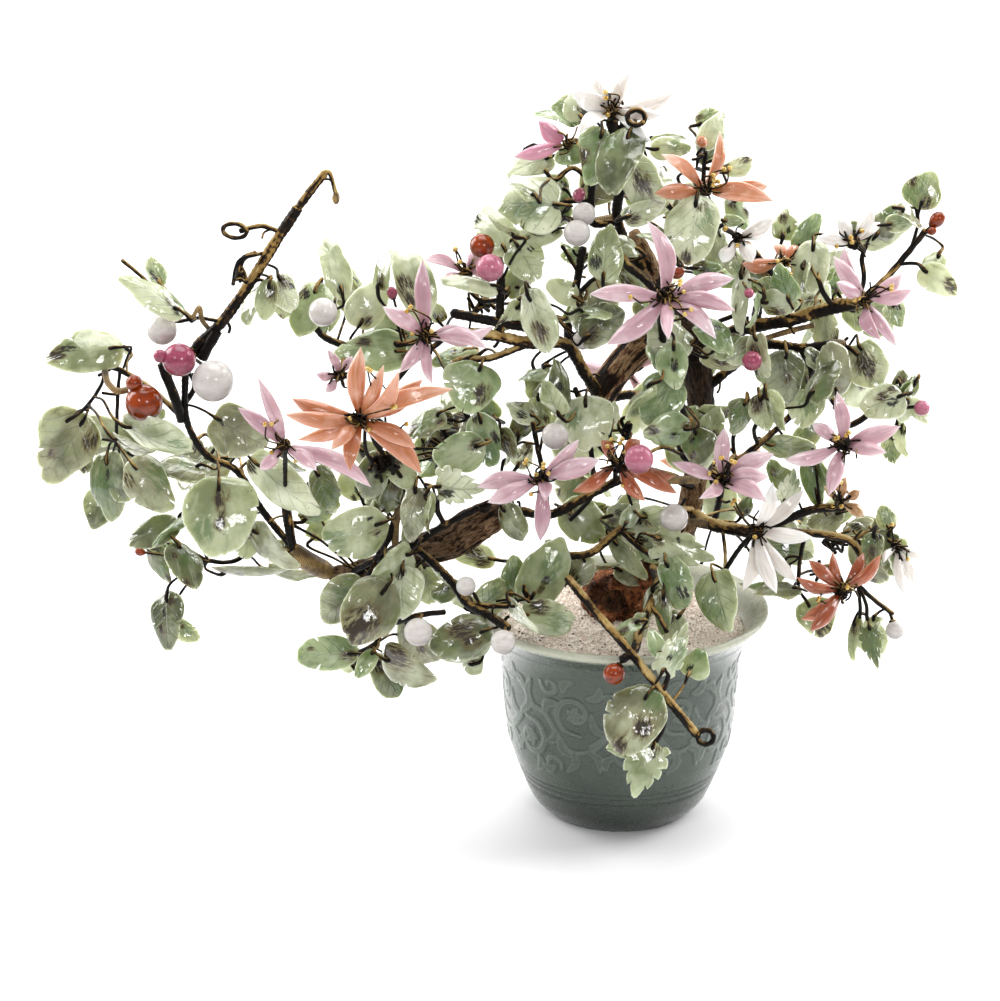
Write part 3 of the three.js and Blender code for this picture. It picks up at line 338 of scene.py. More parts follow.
def leaf(piece, leaf_box, style, seed, inclusions, tone):
    base, axis, face, side, length, width = leaf_box
    rng = random("leaf", seed)
    edge = outline(style, rng, 44 if length > LARGE_LEAF else 32)
    angle, reach = edge[:, 0], edge[:, 1]
    ovate = rng.uniform(-0.02, 0.3) if style != "cut" else 0.12
    point = rng.uniform(0.0, 0.3) if style != "cut" else 0.75
    heart = rng.uniform(0.0, 0.16)
    along = 0.5 - 0.5 * np.cos(angle)
    half = np.sin(angle) * (1 + ovate * np.cos(angle)) * (1 - point * along**3)
    half = half / np.abs(half).max() * 0.5
    away = np.minimum(angle, 2 * math.pi - angle)
    dent = 1 - heart * np.exp(-((away / 0.4) ** 2))
    sweep = rng.uniform(-0.07, 0.07)
    ripple = rng.uniform(0, 6.3)
    cup = rng.uniform(-0.14, 0.05)
    fold = rng.uniform(0.0, 0.14) if style != "cut" else 0.16
    thick = LEAF_THICKNESS * (1.0 if length > LARGE_LEAF else 0.75)
    leaf_number = math.floor(abs(seed) * 10) % 400 * (len(TONES) + 1) + tone

    def ring_at(share, lift):
        shrink = 1 + (reach - 1) * smooth(0.3, 1.0, np.full_like(reach, share))
        s = 0.5 + (along - 0.5) * share * shrink * dent
        y = half * share * shrink + sweep * np.sin(math.pi * s)
        place = np.column_stack([s * length, y * width, np.full_like(s, seed)])
        bend = cup * width * (2 * y) ** 2 - fold * width * np.abs(y) ** 1.5
        wave = 0.5 * share**3 * np.sin(3 * angle + ripple) + 0.3 * share**4 * np.sin(7 * angle + 2 * ripple)
        lumps = 1.5 * (noise(place, 6.5, 3) - 0.5) + 0.75 * share * (noise(place, 2.4, 4) - 0.5)
        h = LEAF_ARCH * length * np.sin(math.pi * np.clip(s, 0, 1)) + bend + wave + lumps + lift
        rings.append(base + np.outer(s * length, axis) + np.outer(y * width, side) + np.outer(h, face))
        coordinates.append(np.column_stack([s, 2 * y, np.full_like(s, leaf_number + 0.9 * share)]))

    rings, coordinates = [], []
    for share in FRONT_RINGS:
        ring_at(share, thick * (0.75 * (1 - share**5) ** 0.5 + 0.35 * share**3 * (1 - share**12)))
    ring_at(1.0, 0.0)
    for share in BACK_RINGS:
        ring_at(share, -thick * 0.7 * (1 - share**5) ** 0.5)
    centre = [(rings[0].mean(axis=0), 0.1), (rings[-1].mean(axis=0), -0.1)]
    points = np.vstack([*rings, *(middle + face * lift for middle, lift in centre)])
    spot = np.vstack([*coordinates, [[0.5, 2 * sweep, leaf_number]], [[0.5, 2 * sweep, leaf_number]]])
    flat_s = (spot[:, 0] - 0.5) * length
    flat_y = spot[:, 1] * 0.5 * width
    marks = np.zeros((len(points), 3))
    for kind, s, y, size in inclusions:
        near = np.exp(-(((flat_s - s) ** 2 / 1.9 + (flat_y - y) ** 2) / size**2))
        marks[:, kind] = np.maximum(marks[:, kind], near)
    piece.add(points, closed_faces(len(rings), len(angle)), 0, spot, marks)


def hook(piece, start, leaf_box, seed):
    """The wire that comes from the stem, passes over the leaf's foot and ends in the leaf."""
    base, axis, face, side, length, _ = leaf_box
    rng = random("hook", seed)
    away = np.linalg.norm(base - start)
    bend = side * rng.uniform(-0.12, 0.12) * away + UP * 0.05 * away
    rise = LEAF_ARCH * length
    knots = [start]
    if away > 6:
        knots.append(start * 0.5 + (base - axis * 3) * 0.5 + bend)
    knots += [
        base - axis * min(2.5, 0.4 * away) + face * 0.6,
        base + axis * 0.05 * length + face * (0.3 * rise + 1.7),
        base + axis * 0.15 * length + face * (0.5 * rise + 1.9),
        base + axis * 0.21 * length + face * (0.6 * rise + 0.2),
    ]
    path = curve(knots, 1.3)
    place = np.linspace(0, 1, len(path))
    radius = 0.7 + 0.34 * smooth(0.6, 0.9, place)
    tube(piece, path, radius * (1 + 0.25 * (noise(path, 1.6, 4) - 0.5)), FINE, DARK_SLOT, seed)


WIRE_SLOT, GOLD_SLOT = 1, 2  # materials of a bloom, after its glass
PETAL_FOOT = 3.4  # distance of a petal's foot from the middle of its bloom
PETAL_OUTLINE = (  # parts of its length, and half widths there
    [0, 0.12, 0.3, 0.46, 0.62, 0.76, 0.87, 0.95, 1],
    [0.4, 0.62, 0.9, 1, 0.93, 0.74, 0.46, 0.2, 0.02],
)


def petal_axes(core, layer, entry, seed):
    u, v, lift, width = entry
    tip = at([u, v, layer + lift])
    axis = unit(tip - core)
    face, side = blade_axes(axis, random("roll", seed).uniform(-0.5, 0.5))
    return tip, axis, face, side, width


def petal(piece, core, layer, entry, seed):
    tip, axis, face, side, width = petal_axes(core, layer, entry, seed)
    rng = random("petal", seed)
    start = core + axis * PETAL_FOOT
    length = np.linalg.norm(tip - start)
    rows, columns = 17, 12
    s = np.linspace(0, 1, rows)
    shift = s ** rng.uniform(0.85, 1.25)
    half = np.interp(shift, *PETAL_OUTLINE) * width * 0.5 * rng.uniform(0.92, 1.06)
    thick = 0.3 + 0.95 * np.sin(math.pi * np.clip(s * 0.9 + 0.08, 0, 1)) ** 0.7
    trough = rng.choice([-0.42, -0.3, -0.2, 0.34])
    bow = rng.uniform(0.05, 0.13)
    sway = rng.uniform(-0.11, 0.11)
    roll = rng.uniform(-0.5, 0.5) * s
    turn = np.arange(columns) / columns * 2 * math.pi
    x, z = np.cos(turn), np.sin(turn)
    across = half[:, None] * x * (1 - 0.12 * x**2)
    over = thick[:, None] * np.where(z > 0, z, 0.45 * z) * (1 - 0.3 * x**2)
    over = over + trough * half[:, None] * x**2
    across, over = (
        across * np.cos(roll)[:, None] - over * np.sin(roll)[:, None],
        across * np.sin(roll)[:, None] + over * np.cos(roll)[:, None],
    )
    centre = start + np.outer(s * length, axis)
    centre += np.outer(bow * length * np.sin(math.pi * s) - 0.03 * length * s**3, face)
    centre += np.outer(sway * length * np.sin(math.pi * s), side)
    body = centre[:, None] + across[..., None] * side + over[..., None] * face
    body += (noise(body, 5.0, 6) - 0.5)[..., None] * 0.7 * face
    points = np.vstack([body.reshape(-1, 3), start - axis * 0.5, centre[-1] + axis * 0.4])
    spot = np.empty((rows, columns, 3))
    spot[..., 0] = s[:, None]
    spot[..., 1] = x
    spot[..., 2] = seed
    spot = np.vstack([spot.reshape(-1, 3), [[0, 0, seed], [1, 0, seed]]])
    piece.add(points, closed_faces(rows, columns), 0, spot)


def claw(piece, core, layer, entry, seed):
    """The wire that holds a petal's foot."""
    _, axis, face, side, width = petal_axes(core, layer, entry, seed)
    rng = random("claw", seed)
    foot = core + axis * PETAL_FOOT
    lean = side * rng.uniform(-0.25, 0.25) * width
    knots = [core, foot - axis * 1.2 + face * 1.0 + lean * 0.5, foot + axis * 1.6 + face * 1.9 + lean]
    knots.append(foot + axis * rng.uniform(3.5, 5.5) + face * 1.5 + lean * 0.6)
    path = curve(knots, 1.1)
    tube(piece, path, 0.55 * (1 + 0.3 * (noise(path, 1.5, 4) - 0.5)), 5, WIRE_SLOT, seed)


def stamen(piece, core, target, seed, seeded):
    rng = random("stamen", seed)
    reach = target - core
    bend = unit(np.cross(reach, rng.normal(size=3))) * np.linalg.norm(reach) * rng.uniform(0.1, 0.35)
    path = curve([core, core + reach * 0.55 + bend, target], 1.1)
    tube(piece, path, rng.uniform(0.4, 0.55), 5, WIRE_SLOT, seed, 0.8)
    if seeded:
        axis = unit(reach)
        globe(piece, target + axis * 0.8, [1.25, 1.1], axis, GOLD_SLOT, seed, 10, 6)


def knot(piece, core, size, seed):
    """The tangle of wire ends that holds a bloom's petals."""
    rng = random("knot", seed)
    for _ in range(10):
        a, b = unit(rng.normal(size=3)), unit(rng.normal(size=3))
        b = unit(b - a * (a @ b))
        sweep = np.linspace(0, rng.uniform(2.6, 5.2), 11) + rng.uniform(0, 6)
        radius = size * rng.uniform(0.5, 1.1)
        path = core + radius * (np.outer(np.cos(sweep), a) + np.outer(np.sin(sweep) * rng.uniform(0.5, 1), b))
        tube(piece, path, rng.uniform(0.5, 0.85), 5, WIRE_SLOT, seed, 0.8)
    globe(piece, core, [size * 0.5, size * 0.5], UP, WIRE_SLOT, seed, 10, 7, 0.5)


# Layout, the same as that of the solids, with the smallest things added. For each branch:
# stems: [radius, layout points]. gilt: numbers of the stems with more gold. thin_ends: share of its
# radius that a stem's last part has.
# leaves: [u, v, layer, direction, length, width, tilt, roll], then words for its edge (cut into leaflets
# or slit) and its tone, where they are not drawn, then its inclusions: [u, v, kind, size].
# buds: [u, v, layer, radius, colour]. bindings of gold thread: [radius, layout points].
# wires beside the stems: [radius, slot, layout points]; slot 0 is dark, 1 is gold thread.
# tangles of loose ends: [u, v, layer, reach, number of wires]. drops of gold thread: [u, v, layer, radius
# across, radius up]. loops: [u, v, layer, radius across, radius up, tilt, wire radius, turns].
BROWN, GREEN, BLACK = 0, 1, 2
BRANCHES = {
    "branch_left": {
        "stems": [
            [2.2, [336, 575, 5], [297, 553, 10], [288, 520, 14], [285, 495, 20]],
            [
                1.6, [297, 553, 10], [262, 510, 12], [236, 470, 14], [207, 455, 16], [187, 422, 16],
                [185, 372, 18],
            ],
            [
                2.4, [185, 372, 18], [196, 348, 18], [222, 322, 20], [250, 283, 20], [275, 243, 20],
                [298, 208, 20],
            ],
            [1.8, [298, 208, 20], [318, 182, 20], [328, 172, 20], [336, 194, 20]],
            [1.2, [297, 553, 10], [262, 548, 12], [230, 562, 12], [203, 560, 14]],
            [1.3, [187, 422, 16], [150, 388, 14], [120, 370, 14], [103, 364, 14]],
            [0.9, [103, 364, 14], [103, 380, 16], [85, 408, 18], [66, 422, 20]],
            [0.9, [120, 370, 14], [118, 392, 14], [116, 446, 12]],
            [1.2, [282, 233, 20], [262, 226, 20], [240, 231, 20]],
            [0.9, [268, 252, 20], [240, 260, 22], [236, 268, 22], [233, 285, 24]],
            [0.9, [250, 283, 20], [262, 280, 22], [272, 292, 24]],
            [0.9, [222, 322, 20], [200, 318, 22], [172, 320, 20], [149, 284, 22], [122, 260, 20]],
        ],
        "gilt": [0, 2, 3, 5],
        "thin_ends": {3: 0.5},
        "leaves": [
            [152, 298, 26, 148, 38, 15, 10, 20],
            [85, 354, 15, 188, 40, 22, 5, 15, "slit", [70, 352, BLACK, 5], [60, 356, BROWN, 6]],
            [65, 446, 19, 240, 40, 33, 10, -10, "smoky", [85, 440, BROWN, 7], [52, 452, BROWN, 4]],
            [110, 485, 10, 268, 36, 23, -10, 10, "dark", [108, 490, GREEN, 18], [112, 475, BLACK, 3]],
            [157, 433, 30, 338, 42, 22, 5, 48, "pale"], [100, 508, 2, 250, 23, 18, 0, 20, "dark"],
            [150, 485, 20, 310, 33, 23, 10, -20, "smoky"], [178, 470, 12, 180, 31, 22, 0, 52, "smoky"],
            [
                218, 517, 32, 270, 43, 37, 12, 8, [220, 500, BROWN, 7], [219, 522, BROWN, 5],
                [205, 530, GREEN, 9],
            ],
            [238, 430, 22, 330, 31, 26, -8, -15, "smoky"], [155, 535, 10, 205, 30, 16, 5, 20, "dark"],
            [186, 565, 24, 300, 28, 18, 8, -20], [170, 620, 18, 270, 30, 20, 8, 10, "dark"],
            [283, 483, 20, 320, 46, 20, -5, 15, "pale"], [275, 545, 24, 315, 34, 18, 8, 62, "smoky"],
            [250, 567, 14, 0, 42, 18, 0, 60], [268, 300, 25, 260, 20, 12, 5, 10],
            [285, 293, 21, 290, 21, 14, 5, 20, "pale"], [205, 470, -14, 200, 34, 26, -10, 20, "smoky"],
            [112, 440, -10, 150, 34, 24, -15, -20, "smoky"], [292, 570, 2, 350, 28, 9, 0, 60, "smoky"],
            [160, 562, 6, 300, 24, 14, 0, 20, "dark"],
        ],
        "buds": [[140, 552, 18, 2.4, "orange"]],
        "bindings": [[5.0, [293, 549, 10], [304, 559, 10], [330, 573, 6]]],
        "wires": [
            [2.5, 0, [162, 364, 24], [168, 380, 23], [175, 398, 20], [182, 420, 16]],
            [1.5, 0, [193, 374, 16], [194, 388, 15], [186, 402, 14]],
            [2.7, 0, [202, 358, 19], [209, 345, 20], [217, 331, 20]],
            [1.5, 0, [256, 253, 18], [244, 258, 20], [240, 266, 22], [237, 279, 24]],
            [0.9, 0, [241, 266, 22], [245, 274, 24], [247, 282, 25]],
            [1.2, 1, [184, 312, 24], [192, 317, 26], [199, 307, 25], [202, 320, 23], [208, 328, 21]],
            [1.7, 1, [105, 371, 20], [108, 383, 23], [117, 391, 24], [127, 390, 22]],
        ],
        "tangles": [[240, 278, 24, 4, 4]],
        "drops": [[336, 198, 20, 1.9, 3.0]],
        "loops": [[235, 231, 20, 11, 6.5, -8, 1.1, 1.25]],
    },
    "branch_upper_left": {
        "stems": [
            [
                2.6, [597, 391, -9], [584, 372, -2], [567, 345, 2], [530, 343, 12], [490, 335, 16],
                [452, 333, 18],
            ],
            [2.2, [567, 345, 2], [530, 328, 10], [497, 322, 14], [452, 313, 14]],
            [1.6, [530, 343, 12], [490, 358, 16], [456, 362, 16], [450, 378, 18]],
            [
                1.6, [452, 333, 18], [425, 340, 18], [385, 345, 14], [345, 345, 12], [322, 335, 12],
                [311, 318, 12],
            ],
            [1.4, [456, 362, 16], [462, 400, 10], [470, 430, 10], [462, 455, 14]],
            [1.3, [452, 333, 18], [410, 365, 26], [385, 395, 32], [365, 412, 40]],
            [2.0, [500, 338, 15], [500, 310, 13], [501, 278, 11]],
            [1.1, [500, 300, 12], [480, 300, 12], [466, 286, 10]],
        ],
        "gilt": [0, 2],
        "leaves": [
            [311, 310, 16, 250, 28, 24, 10, 10], [333, 268, 6, 105, 33, 16, -8, 25, "pale"],
            [370, 305, 6, 60, 28, 20, -5, 35, "pale"], [372, 352, 16, 180, 38, 21, 5, -10],
            [413, 285, 12, 110, 40, 19, -6, 10, "pale", [405, 288, BROWN, 7], [410, 300, BROWN, 5]],
            [472, 388, 24, 250, 28, 28, 8, 8, [480, 395, BROWN, 7]],
            [428, 425, 12, 215, 22, 16, 0, 20, "smoky"], [484, 440, 14, 285, 28, 18, 6, -20, "green"],
            [460, 452, 20, 200, 27, 20, 8, 10], [470, 286, 20, 170, 31, 12, 5, 30, "pale"],
            [495, 232, 4, 115, 28, 20, -10, 10, "pale", [476, 219, BLACK, 5]],
            [526, 262, 12, 300, 22, 20, 8, 10, [530, 252, BLACK, 3]], [465, 395, -14, 200, 32, 24, -15, 10],
            [400, 330, -10, 150, 34, 22, -15, -20], [374, 476, 24, 255, 24, 17, 0, 15, "dark"],
            [402, 470, 20, 300, 22, 16, 0, -20], [388, 494, 16, 265, 20, 14, 0, 10, "dark"],
            [446, 446, -4, 280, 24, 18, 0, 10, "dark"], [432, 464, -6, 230, 20, 14, 0, 20],
            [452, 358, -8, 200, 22, 12, 0, 30], [455, 434, -8, 250, 26, 16, 0, -20],
            [508, 443, 4, 290, 18, 12, -5, 20, "dark", [508, 443, BROWN, 8]],
            [535, 375, 2, 200, 18, 12, 0, 66, "pale"],
        ],
        "buds": [[392, 293, 18, 3, "magenta"]],
        "wires": [
            [1.4, 0, [432, 414, 4], [444, 432, 2], [452, 452, 0], [446, 470, -2]],
            [1.2, 0, [365, 415, 36], [374, 440, 34], [390, 462, 28], [402, 478, 22]],
            [1.0, 0, [365, 420, 38], [366, 450, 36], [378, 470, 30], [384, 488, 24]],
            [1.0, 0, [370, 412, 38], [396, 436, 30], [404, 455, 24], [414, 462, 20]],
        ],
        "tangles": [[383, 464, 30, 9, 9], [440, 452, 0, 11, 9], [484, 302, -6, 9, 7], [452, 362, -8, 8, 5]],
    },
    "branch_bough": {
        "stems": [
            [1.5, [352, 572, 8], [375, 560, 15], [412, 545, 18], [445, 525, 20], [478, 508, 19]],
            [1.4, [375, 560, 15], [388, 540, 20], [394, 520, 18], [406, 494, 14]],
            [1.3, [445, 525, 20], [438, 512, 20], [437, 500, 20]],
            [
                1.9, [412, 545, 18], [432, 562, 24], [450, 580, 26], [467, 603, 32], [490, 616, 42],
                [508, 628, 50],
            ],
            [1.2, [467, 603, 32], [490, 606, 38], [518, 606, 40]],
            [1.3, [375, 560, 15], [366, 590, 20], [376, 620, 24], [378, 640, 26], [356, 655, 24]],
            [1.3, [376, 620, 24], [396, 622, 32], [420, 615, 36], [445, 612, 36]],
        ],
        "leaves": [
            [325, 488, 14, 290, 23, 18, 5, 10, "dark"], [355, 532, 26, 200, 35, 25, 8, -8, "slit"],
            [318, 512, 8, 20, 24, 12, 0, 62, "green"], [457, 486, 25, 355, 27, 20, 8, 8, "cut", "pale"],
            [415, 512, 26, 265, 30, 14, 10, 15, "smoky"], [393, 562, 28, 215, 25, 17, 8, -15],
            [405, 592, 32, 270, 28, 21, 12, 12, "pale"],
            [368, 612, 38, 235, 36, 30, 8, -8, "smoky", [360, 625, BROWN, 15], [350, 632, BROWN, 10]],
            [328, 653, 26, 180, 33, 18, 5, 15, "green"],
            [
                408, 667, 34, 335, 31, 21, 6, 10, "slit", "smoky", [398, 655, BROWN, 11],
                [388, 650, BROWN, 8],
            ],
            [462, 640, 44, 200, 33, 22, 8, 10, "slit", "dark", [462, 630, BROWN, 9], [472, 642, BROWN, 6]],
            [345, 600, 17, 215, 30, 22, -15, 15, "smoky"], [420, 640, 14, 300, 30, 24, -15, 10],
            [428, 582, 10, 280, 24, 14, 0, 10, "pale"], [386, 676, 14, 300, 26, 16, 0, 0],
            [352, 485, 6, 120, 18, 15, -5, 10, "pale"], [385, 498, 6, 100, 16, 13, -5, 20, "dark"],
            [366, 664, 32, 235, 18, 9, 5, 30, "green"], [447, 592, 16, 200, 18, 13, -10, 20, "smoky"],
        ],
        "buds": [[337, 600, 16, 2.2, "dusky"]],
        "bindings": [[2.2, [395, 545, 18], [396, 520, 18], [408, 492, 14]]],
    },
    "branch_centre": {
        "stems": [
            [
                2.1, [692, 486, -10], [665, 475, 0], [640, 472, 10], [595, 492, 16], [548, 515, 12],
                [512, 510, 7], [494, 517, 6],
            ],
            [1.3, [548, 515, 12], [545, 480, 16], [538, 450, 10], [533, 422, 8]],
            [1.3, [595, 492, 16], [592, 460, 6], [588, 425, 4], [575, 388, 4]],
            [1.1, [595, 492, 16], [585, 505, 8], [570, 520, 6]],
        ],
        "leaves": [
            [587, 424, 14, 270, 28, 30, 10, 0], [558, 388, 8, 95, 30, 13, 0, 25, [558, 388, BLACK, 3]],
            [582, 520, -2, 330, 28, 22, -5, 10], [513, 522, 20, 300, 22, 14, 6, 10, "dark"],
            [575, 440, -14, 250, 34, 26, -15, 10], [540, 412, -6, 280, 20, 12, 0, 10],
            [521, 412, 4, 150, 18, 14, 0, 20], [523, 455, 4, 60, 15, 11, 0, 10, "pale"],
        ],
    },
    "branch_middle": {
        "stems": [
            [1.9, [692, 510, -8], [655, 512, 4], [620, 530, 12], [590, 553, 16], [563, 556, 18]],
            [1.2, [620, 530, 12], [640, 548, 18], [657, 558, 22], [675, 566, 24]],
            [1.2, [563, 556, 18], [540, 570, 20], [528, 598, 24], [540, 612, 34]],
        ],
        "gilt": [0],
        "leaves": [
            [625, 512, -2, 60, 23, 18, -8, 15, "pale"], [650, 536, 4, 350, 30, 20, -8, 10, "pale"],
            [629, 558, 3, 310, 30, 10, 5, 25], [600, 562, 4, 0, 29, 16, -5, 62, "pale"],
            [545, 572, 20, 60, 38, 25, 6, 8],
            [512, 577, 10, 85, 24, 12, 0, 20, "green", [512, 577, GREEN, 14]],
            [490, 595, 16, 45, 22, 17, -5, 10, [490, 595, GREEN, 12]],
            [548, 617, 38, 350, 29, 18, 8, 10, [540, 606, BROWN, 7], [560, 622, GREEN, 10]],
            [680, 547, 22, 340, 35, 20, 6, 10, "cut"],
            [676, 582, 30, 290, 27, 20, 10, 12, "green", [676, 575, GREEN, 14], [684, 592, BLACK, 5]],
            [664, 612, 32, 270, 22, 9, 5, 10],
            [475, 556, -10, 170, 24, 13, -6, 20, "pale", [472, 552, BROWN, 6], [482, 562, BROWN, 5]],
            [625, 530, -34, 280, 34, 24, -20, 10, "smoky"], [613, 415, 8, 80, 14, 6, 0, 10, "pale"],
            [630, 515, 10, 60, 15, 9, 0, 20, "pale"],
        ],
        "tangles": [[624, 430, 0, 7, 5]],
    },
    "branch_inner": {
        "stems": [
            [1.9, [597, 398, -14], [578, 362, -12], [568, 335, -8], [574, 300, -4], [583, 248, 2]],
            [1.1, [574, 300, -4], [590, 282, 2], [600, 276, 6]],
            [1.1, [571, 318, -6], [556, 318, 4], [545, 300, 10]],
            [1.0, [578, 272, 0], [566, 252, 0], [562, 246, 0]],
        ],
        "leaves": [
            [540, 320, 22, 290, 34, 18, 6, 10, "pale", [543, 330, BROWN, 7]],
            [602, 325, 10, 40, 26, 20, 5, -10, [593, 335, BROWN, 7]],
            [606, 254, 12, 85, 30, 17, 5, 10, [597, 262, BLACK, 5]], [600, 300, -18, 60, 32, 24, -15, 10],
            [514, 281, -6, 60, 20, 13, 0, 10], [563, 291, 0, 150, 19, 12, -5, 20],
            [580, 316, 2, 270, 17, 11, 0, 10, "pale"], [574, 256, -2, 180, 14, 10, -5, 10, "pale"],
        ],
        "buds": [[581, 341, 9, 4.6, "white"]],
        "bindings": [[2.0, [590, 222, -6], [618, 217, -8]]],
        "tangles": [[512, 286, -8, 9, 6]],
    },
    "branch_crown_left": {
        "stems": [
            [
                2.4, [642, 268, -12], [624, 240, -8], [617, 212, -2], [620, 185, 2], [616, 150, 2],
                [612, 120, 6],
            ],
            [1.8, [618, 222, -4], [592, 222, 0], [591, 200, 0], [592, 182, 2]],
            [1.3, [592, 222, 0], [572, 220, 2], [553, 215, 4]],
            [1.1, [591, 200, 0], [575, 201, 0], [563, 202, 0]],
            [1.1, [592, 182, 2], [572, 168, 3], [554, 180, 4], [545, 170, 4]],
            [1.3, [616, 150, 2], [594, 140, 2], [574, 142, 2]],
            [1.2, [612, 128, 5], [626, 126, 5], [637, 118, 5]],
        ],
        "leaves": [
            [557, 120, -2, 165, 23, 14, -5, 45], [532, 166, 0, 200, 25, 13, 0, 20, "pale"],
            [595, 156, 16, 260, 29, 22, 6, -8, [600, 152, BROWN, 6], [580, 160, BROWN, 7]],
            [622, 162, 22, 250, 36, 24, 8, 10], [532, 206, 12, 180, 33, 28, 5, 8, "pale"],
            [535, 240, 4, 200, 30, 14, 0, 40, "pale"], [600, 175, -22, 60, 32, 26, -15, 10],
            [545, 210, -18, 200, 32, 24, -15, 10], [576, 108, 2, 120, 15, 14, -5, 10],
            [556, 185, -4, 140, 14, 12, -5, 10],
        ],
        "buds": [[579, 195, 10, 3.6, "magenta"], [638, 119, 6, 3, "wire"]],
        "wires": [[1.2, 0, [622, 124, 5], [627, 127, 11], [632, 124, 18]]],
        "tangles": [[620, 116, 2, 9, 8], [605, 108, 0, 7, 5]],
        "loops": [[636, 118, 18, 8, 7, 0, 1.25, 1.9]],
    },
    "branch_crown_right": {
        "stems": [
            [2.2, [656, 292, -12], [672, 262, -10], [690, 225, -8], [702, 200, -4]],
            [1.3, [690, 225, -8], [668, 205, -4], [655, 190, -2], [648, 160, -4]],
            [1.1, [702, 200, -4], [704, 168, -8], [706, 148, -8]],
            [1.0, [704, 168, -8], [720, 170, -8], [728, 166, -8]],
            [1.1, [690, 225, -8], [716, 228, -6], [724, 224, -6]],
        ],
        "leaves": [
            [645, 182, 6, 300, 27, 21, 5, 10, "pale", [645, 182, BROWN, 8]],
            [670, 148, -6, 0, 21, 12, -5, 20, "pale"], [643, 211, 10, 20, 23, 12, 5, 20, "pale"],
            [696, 231, 16, 265, 36, 27, 8, 5, "pale"], [710, 131, -8, 60, 22, 12, -5, 20, "pale"],
            [690, 215, -32, 290, 34, 24, -15, 10], [655, 190, -28, 60, 30, 22, -20, 10, "pale"],
            [716, 250, -12, 80, 24, 13, 0, 20, "pale"], [735, 264, -14, 300, 18, 12, 0, 0, "pale"],
            [738, 165, -8, 20, 17, 10, -5, 20, "pale"], [662, 240, 0, 120, 14, 9, 0, 10],
            [706, 268, -2, 0, 15, 9, 0, 20, "green"], [733, 220, -4, 350, 12, 7, 0, 20, "pale"],
        ],
        "buds": [[702, 142, -2, 3.2, "coral"]],
    },
    "branch_trunk": {
        "stems": [
            [1.8, [698, 410, -10], [688, 424, 2], [680, 440, 8], [686, 458, 12], [700, 462, 12]],
            [1.5, [688, 424, 2], [677, 395, 8], [670, 368, 10], [662, 335, 14], [660, 312, 22]],
            [1.2, [670, 368, 10], [690, 345, 8], [718, 322, 4], [738, 312, 2], [742, 275, 2]],
            [1.7, [660, 318, 20], [655, 292, 18], [645, 280, 16], [626, 264, 10], [621, 245, 4]],
            [1.2, [738, 312, 2], [750, 330, 6], [757, 340, 8]],
        ],
        "leaves": [
            [668, 340, 10, 120, 26, 25, -5, 8],
            [674, 366, 24, 270, 24, 16, 10, 5, "green", [674, 366, BLACK, 4]],
            [715, 337, 18, 320, 24, 17, 6, -10, "green", [715, 337, GREEN, 14], [716, 330, BLACK, 3]],
            [722, 357, 8, 350, 24, 13, 0, 20, [722, 357, BROWN, 6]],
            [662, 400, 22, 240, 27, 24, 8, 8, [672, 395, GREEN, 12]], [668, 430, 26, 190, 26, 18, 8, -10],
            [697, 447, 20, 270, 21, 18, 6, 10], [742, 300, 8, 265, 34, 10, 5, 30, "pale"],
            [762, 354, 18, 285, 24, 12, 5, 50, "smoky", [758, 352, BROWN, 6]],
            [630, 278, -4, 320, 22, 12, 0, 20], [712, 422, 4, 60, 17, 13, -5, 10],
        ],
        "buds": [[678, 273, 22, 3.2, "orange"], [749, 293, 26, 2.9, "magenta"]],
        "bindings": [
            [2.2, [622, 240, -6], [627, 264, -4], [650, 280, -2]], [2.2, [660, 480, 6], [700, 480, 4]],
        ],
    },
    "branch_right_up": {
        "stems": [
            [
                3.0, [700, 352, -10], [725, 335, -8], [755, 326, -4], [790, 320, 2], [815, 312, 4],
                [858, 302, 12],
            ],
            [2.2, [755, 326, -4], [760, 298, -8], [770, 276, -6], [757, 258, -2], [746, 245, 2]],
            [1.4, [858, 302, 12], [887, 277, 6], [905, 256, 4], [926, 230, 4]],
            [0.9, [912, 246, 4], [918, 222, 2], [915, 203, 0]],
            [0.9, [900, 264, 5], [918, 264, 6], [927, 272, 8]],
            [1.2, [836, 309, 8], [824, 294, 10], [818, 278, 10]],
            [1.2, [790, 320, 2], [784, 306, 6], [783, 300, 8]],
            [1.2, [858, 302, 12], [864, 278, 6], [862, 258, 4], [866, 245, 4]],
            [1.2, [746, 245, 2], [735, 235, 4], [724, 228, 6]],
        ],
        "gilt": [0, 2],
        "leaves": [
            [806, 232, -12, 55, 25, 12, -5, 10, "green", [806, 232, GREEN, 12]],
            [812, 268, 0, 265, 28, 19, 5, 10, "pale"],
            [785, 284, 12, 110, 20, 15, 5, -10, "green", [785, 284, GREEN, 12]],
            [780, 303, 12, 350, 20, 14, 8, 10, [778, 310, BROWN, 6]],
            [885, 230, -4, 20, 28, 17, -5, 10, "pale"], [925, 190, 0, 75, 20, 19, 0, 10],
            [938, 280, 8, 320, 23, 15, 5, 10, "pale", [952, 285, BROWN, 6]],
            [826, 330, -8, 280, 25, 14, -5, 10, "pale"], [808, 290, -24, 60, 32, 24, -20, 10, "pale"],
            [868, 318, -22, 330, 30, 22, -20, 10], [900, 222, 6, 10, 17, 9, 5, 10, "pale"],
            [896, 314, -6, 290, 14, 12, 0, 10, "pale"], [835, 258, -4, 30, 15, 9, -5, 20, "pale"],
            [752, 280, -14, 150, 18, 12, -5, 10],
        ],
        "buds": [[937, 220, 6, 4.1, "orange"], [932, 231, 8, 2.4, "orange"]],
        "bindings": [[2.2, [747, 250, -6], [757, 264, -6], [768, 277, -4]]],
    },
    "branch_right_middle": {
        "stems": [
            [2.2, [702, 392, -12], [735, 365, -14], [765, 345, -10], [800, 348, -4], [835, 345, 0]],
            [
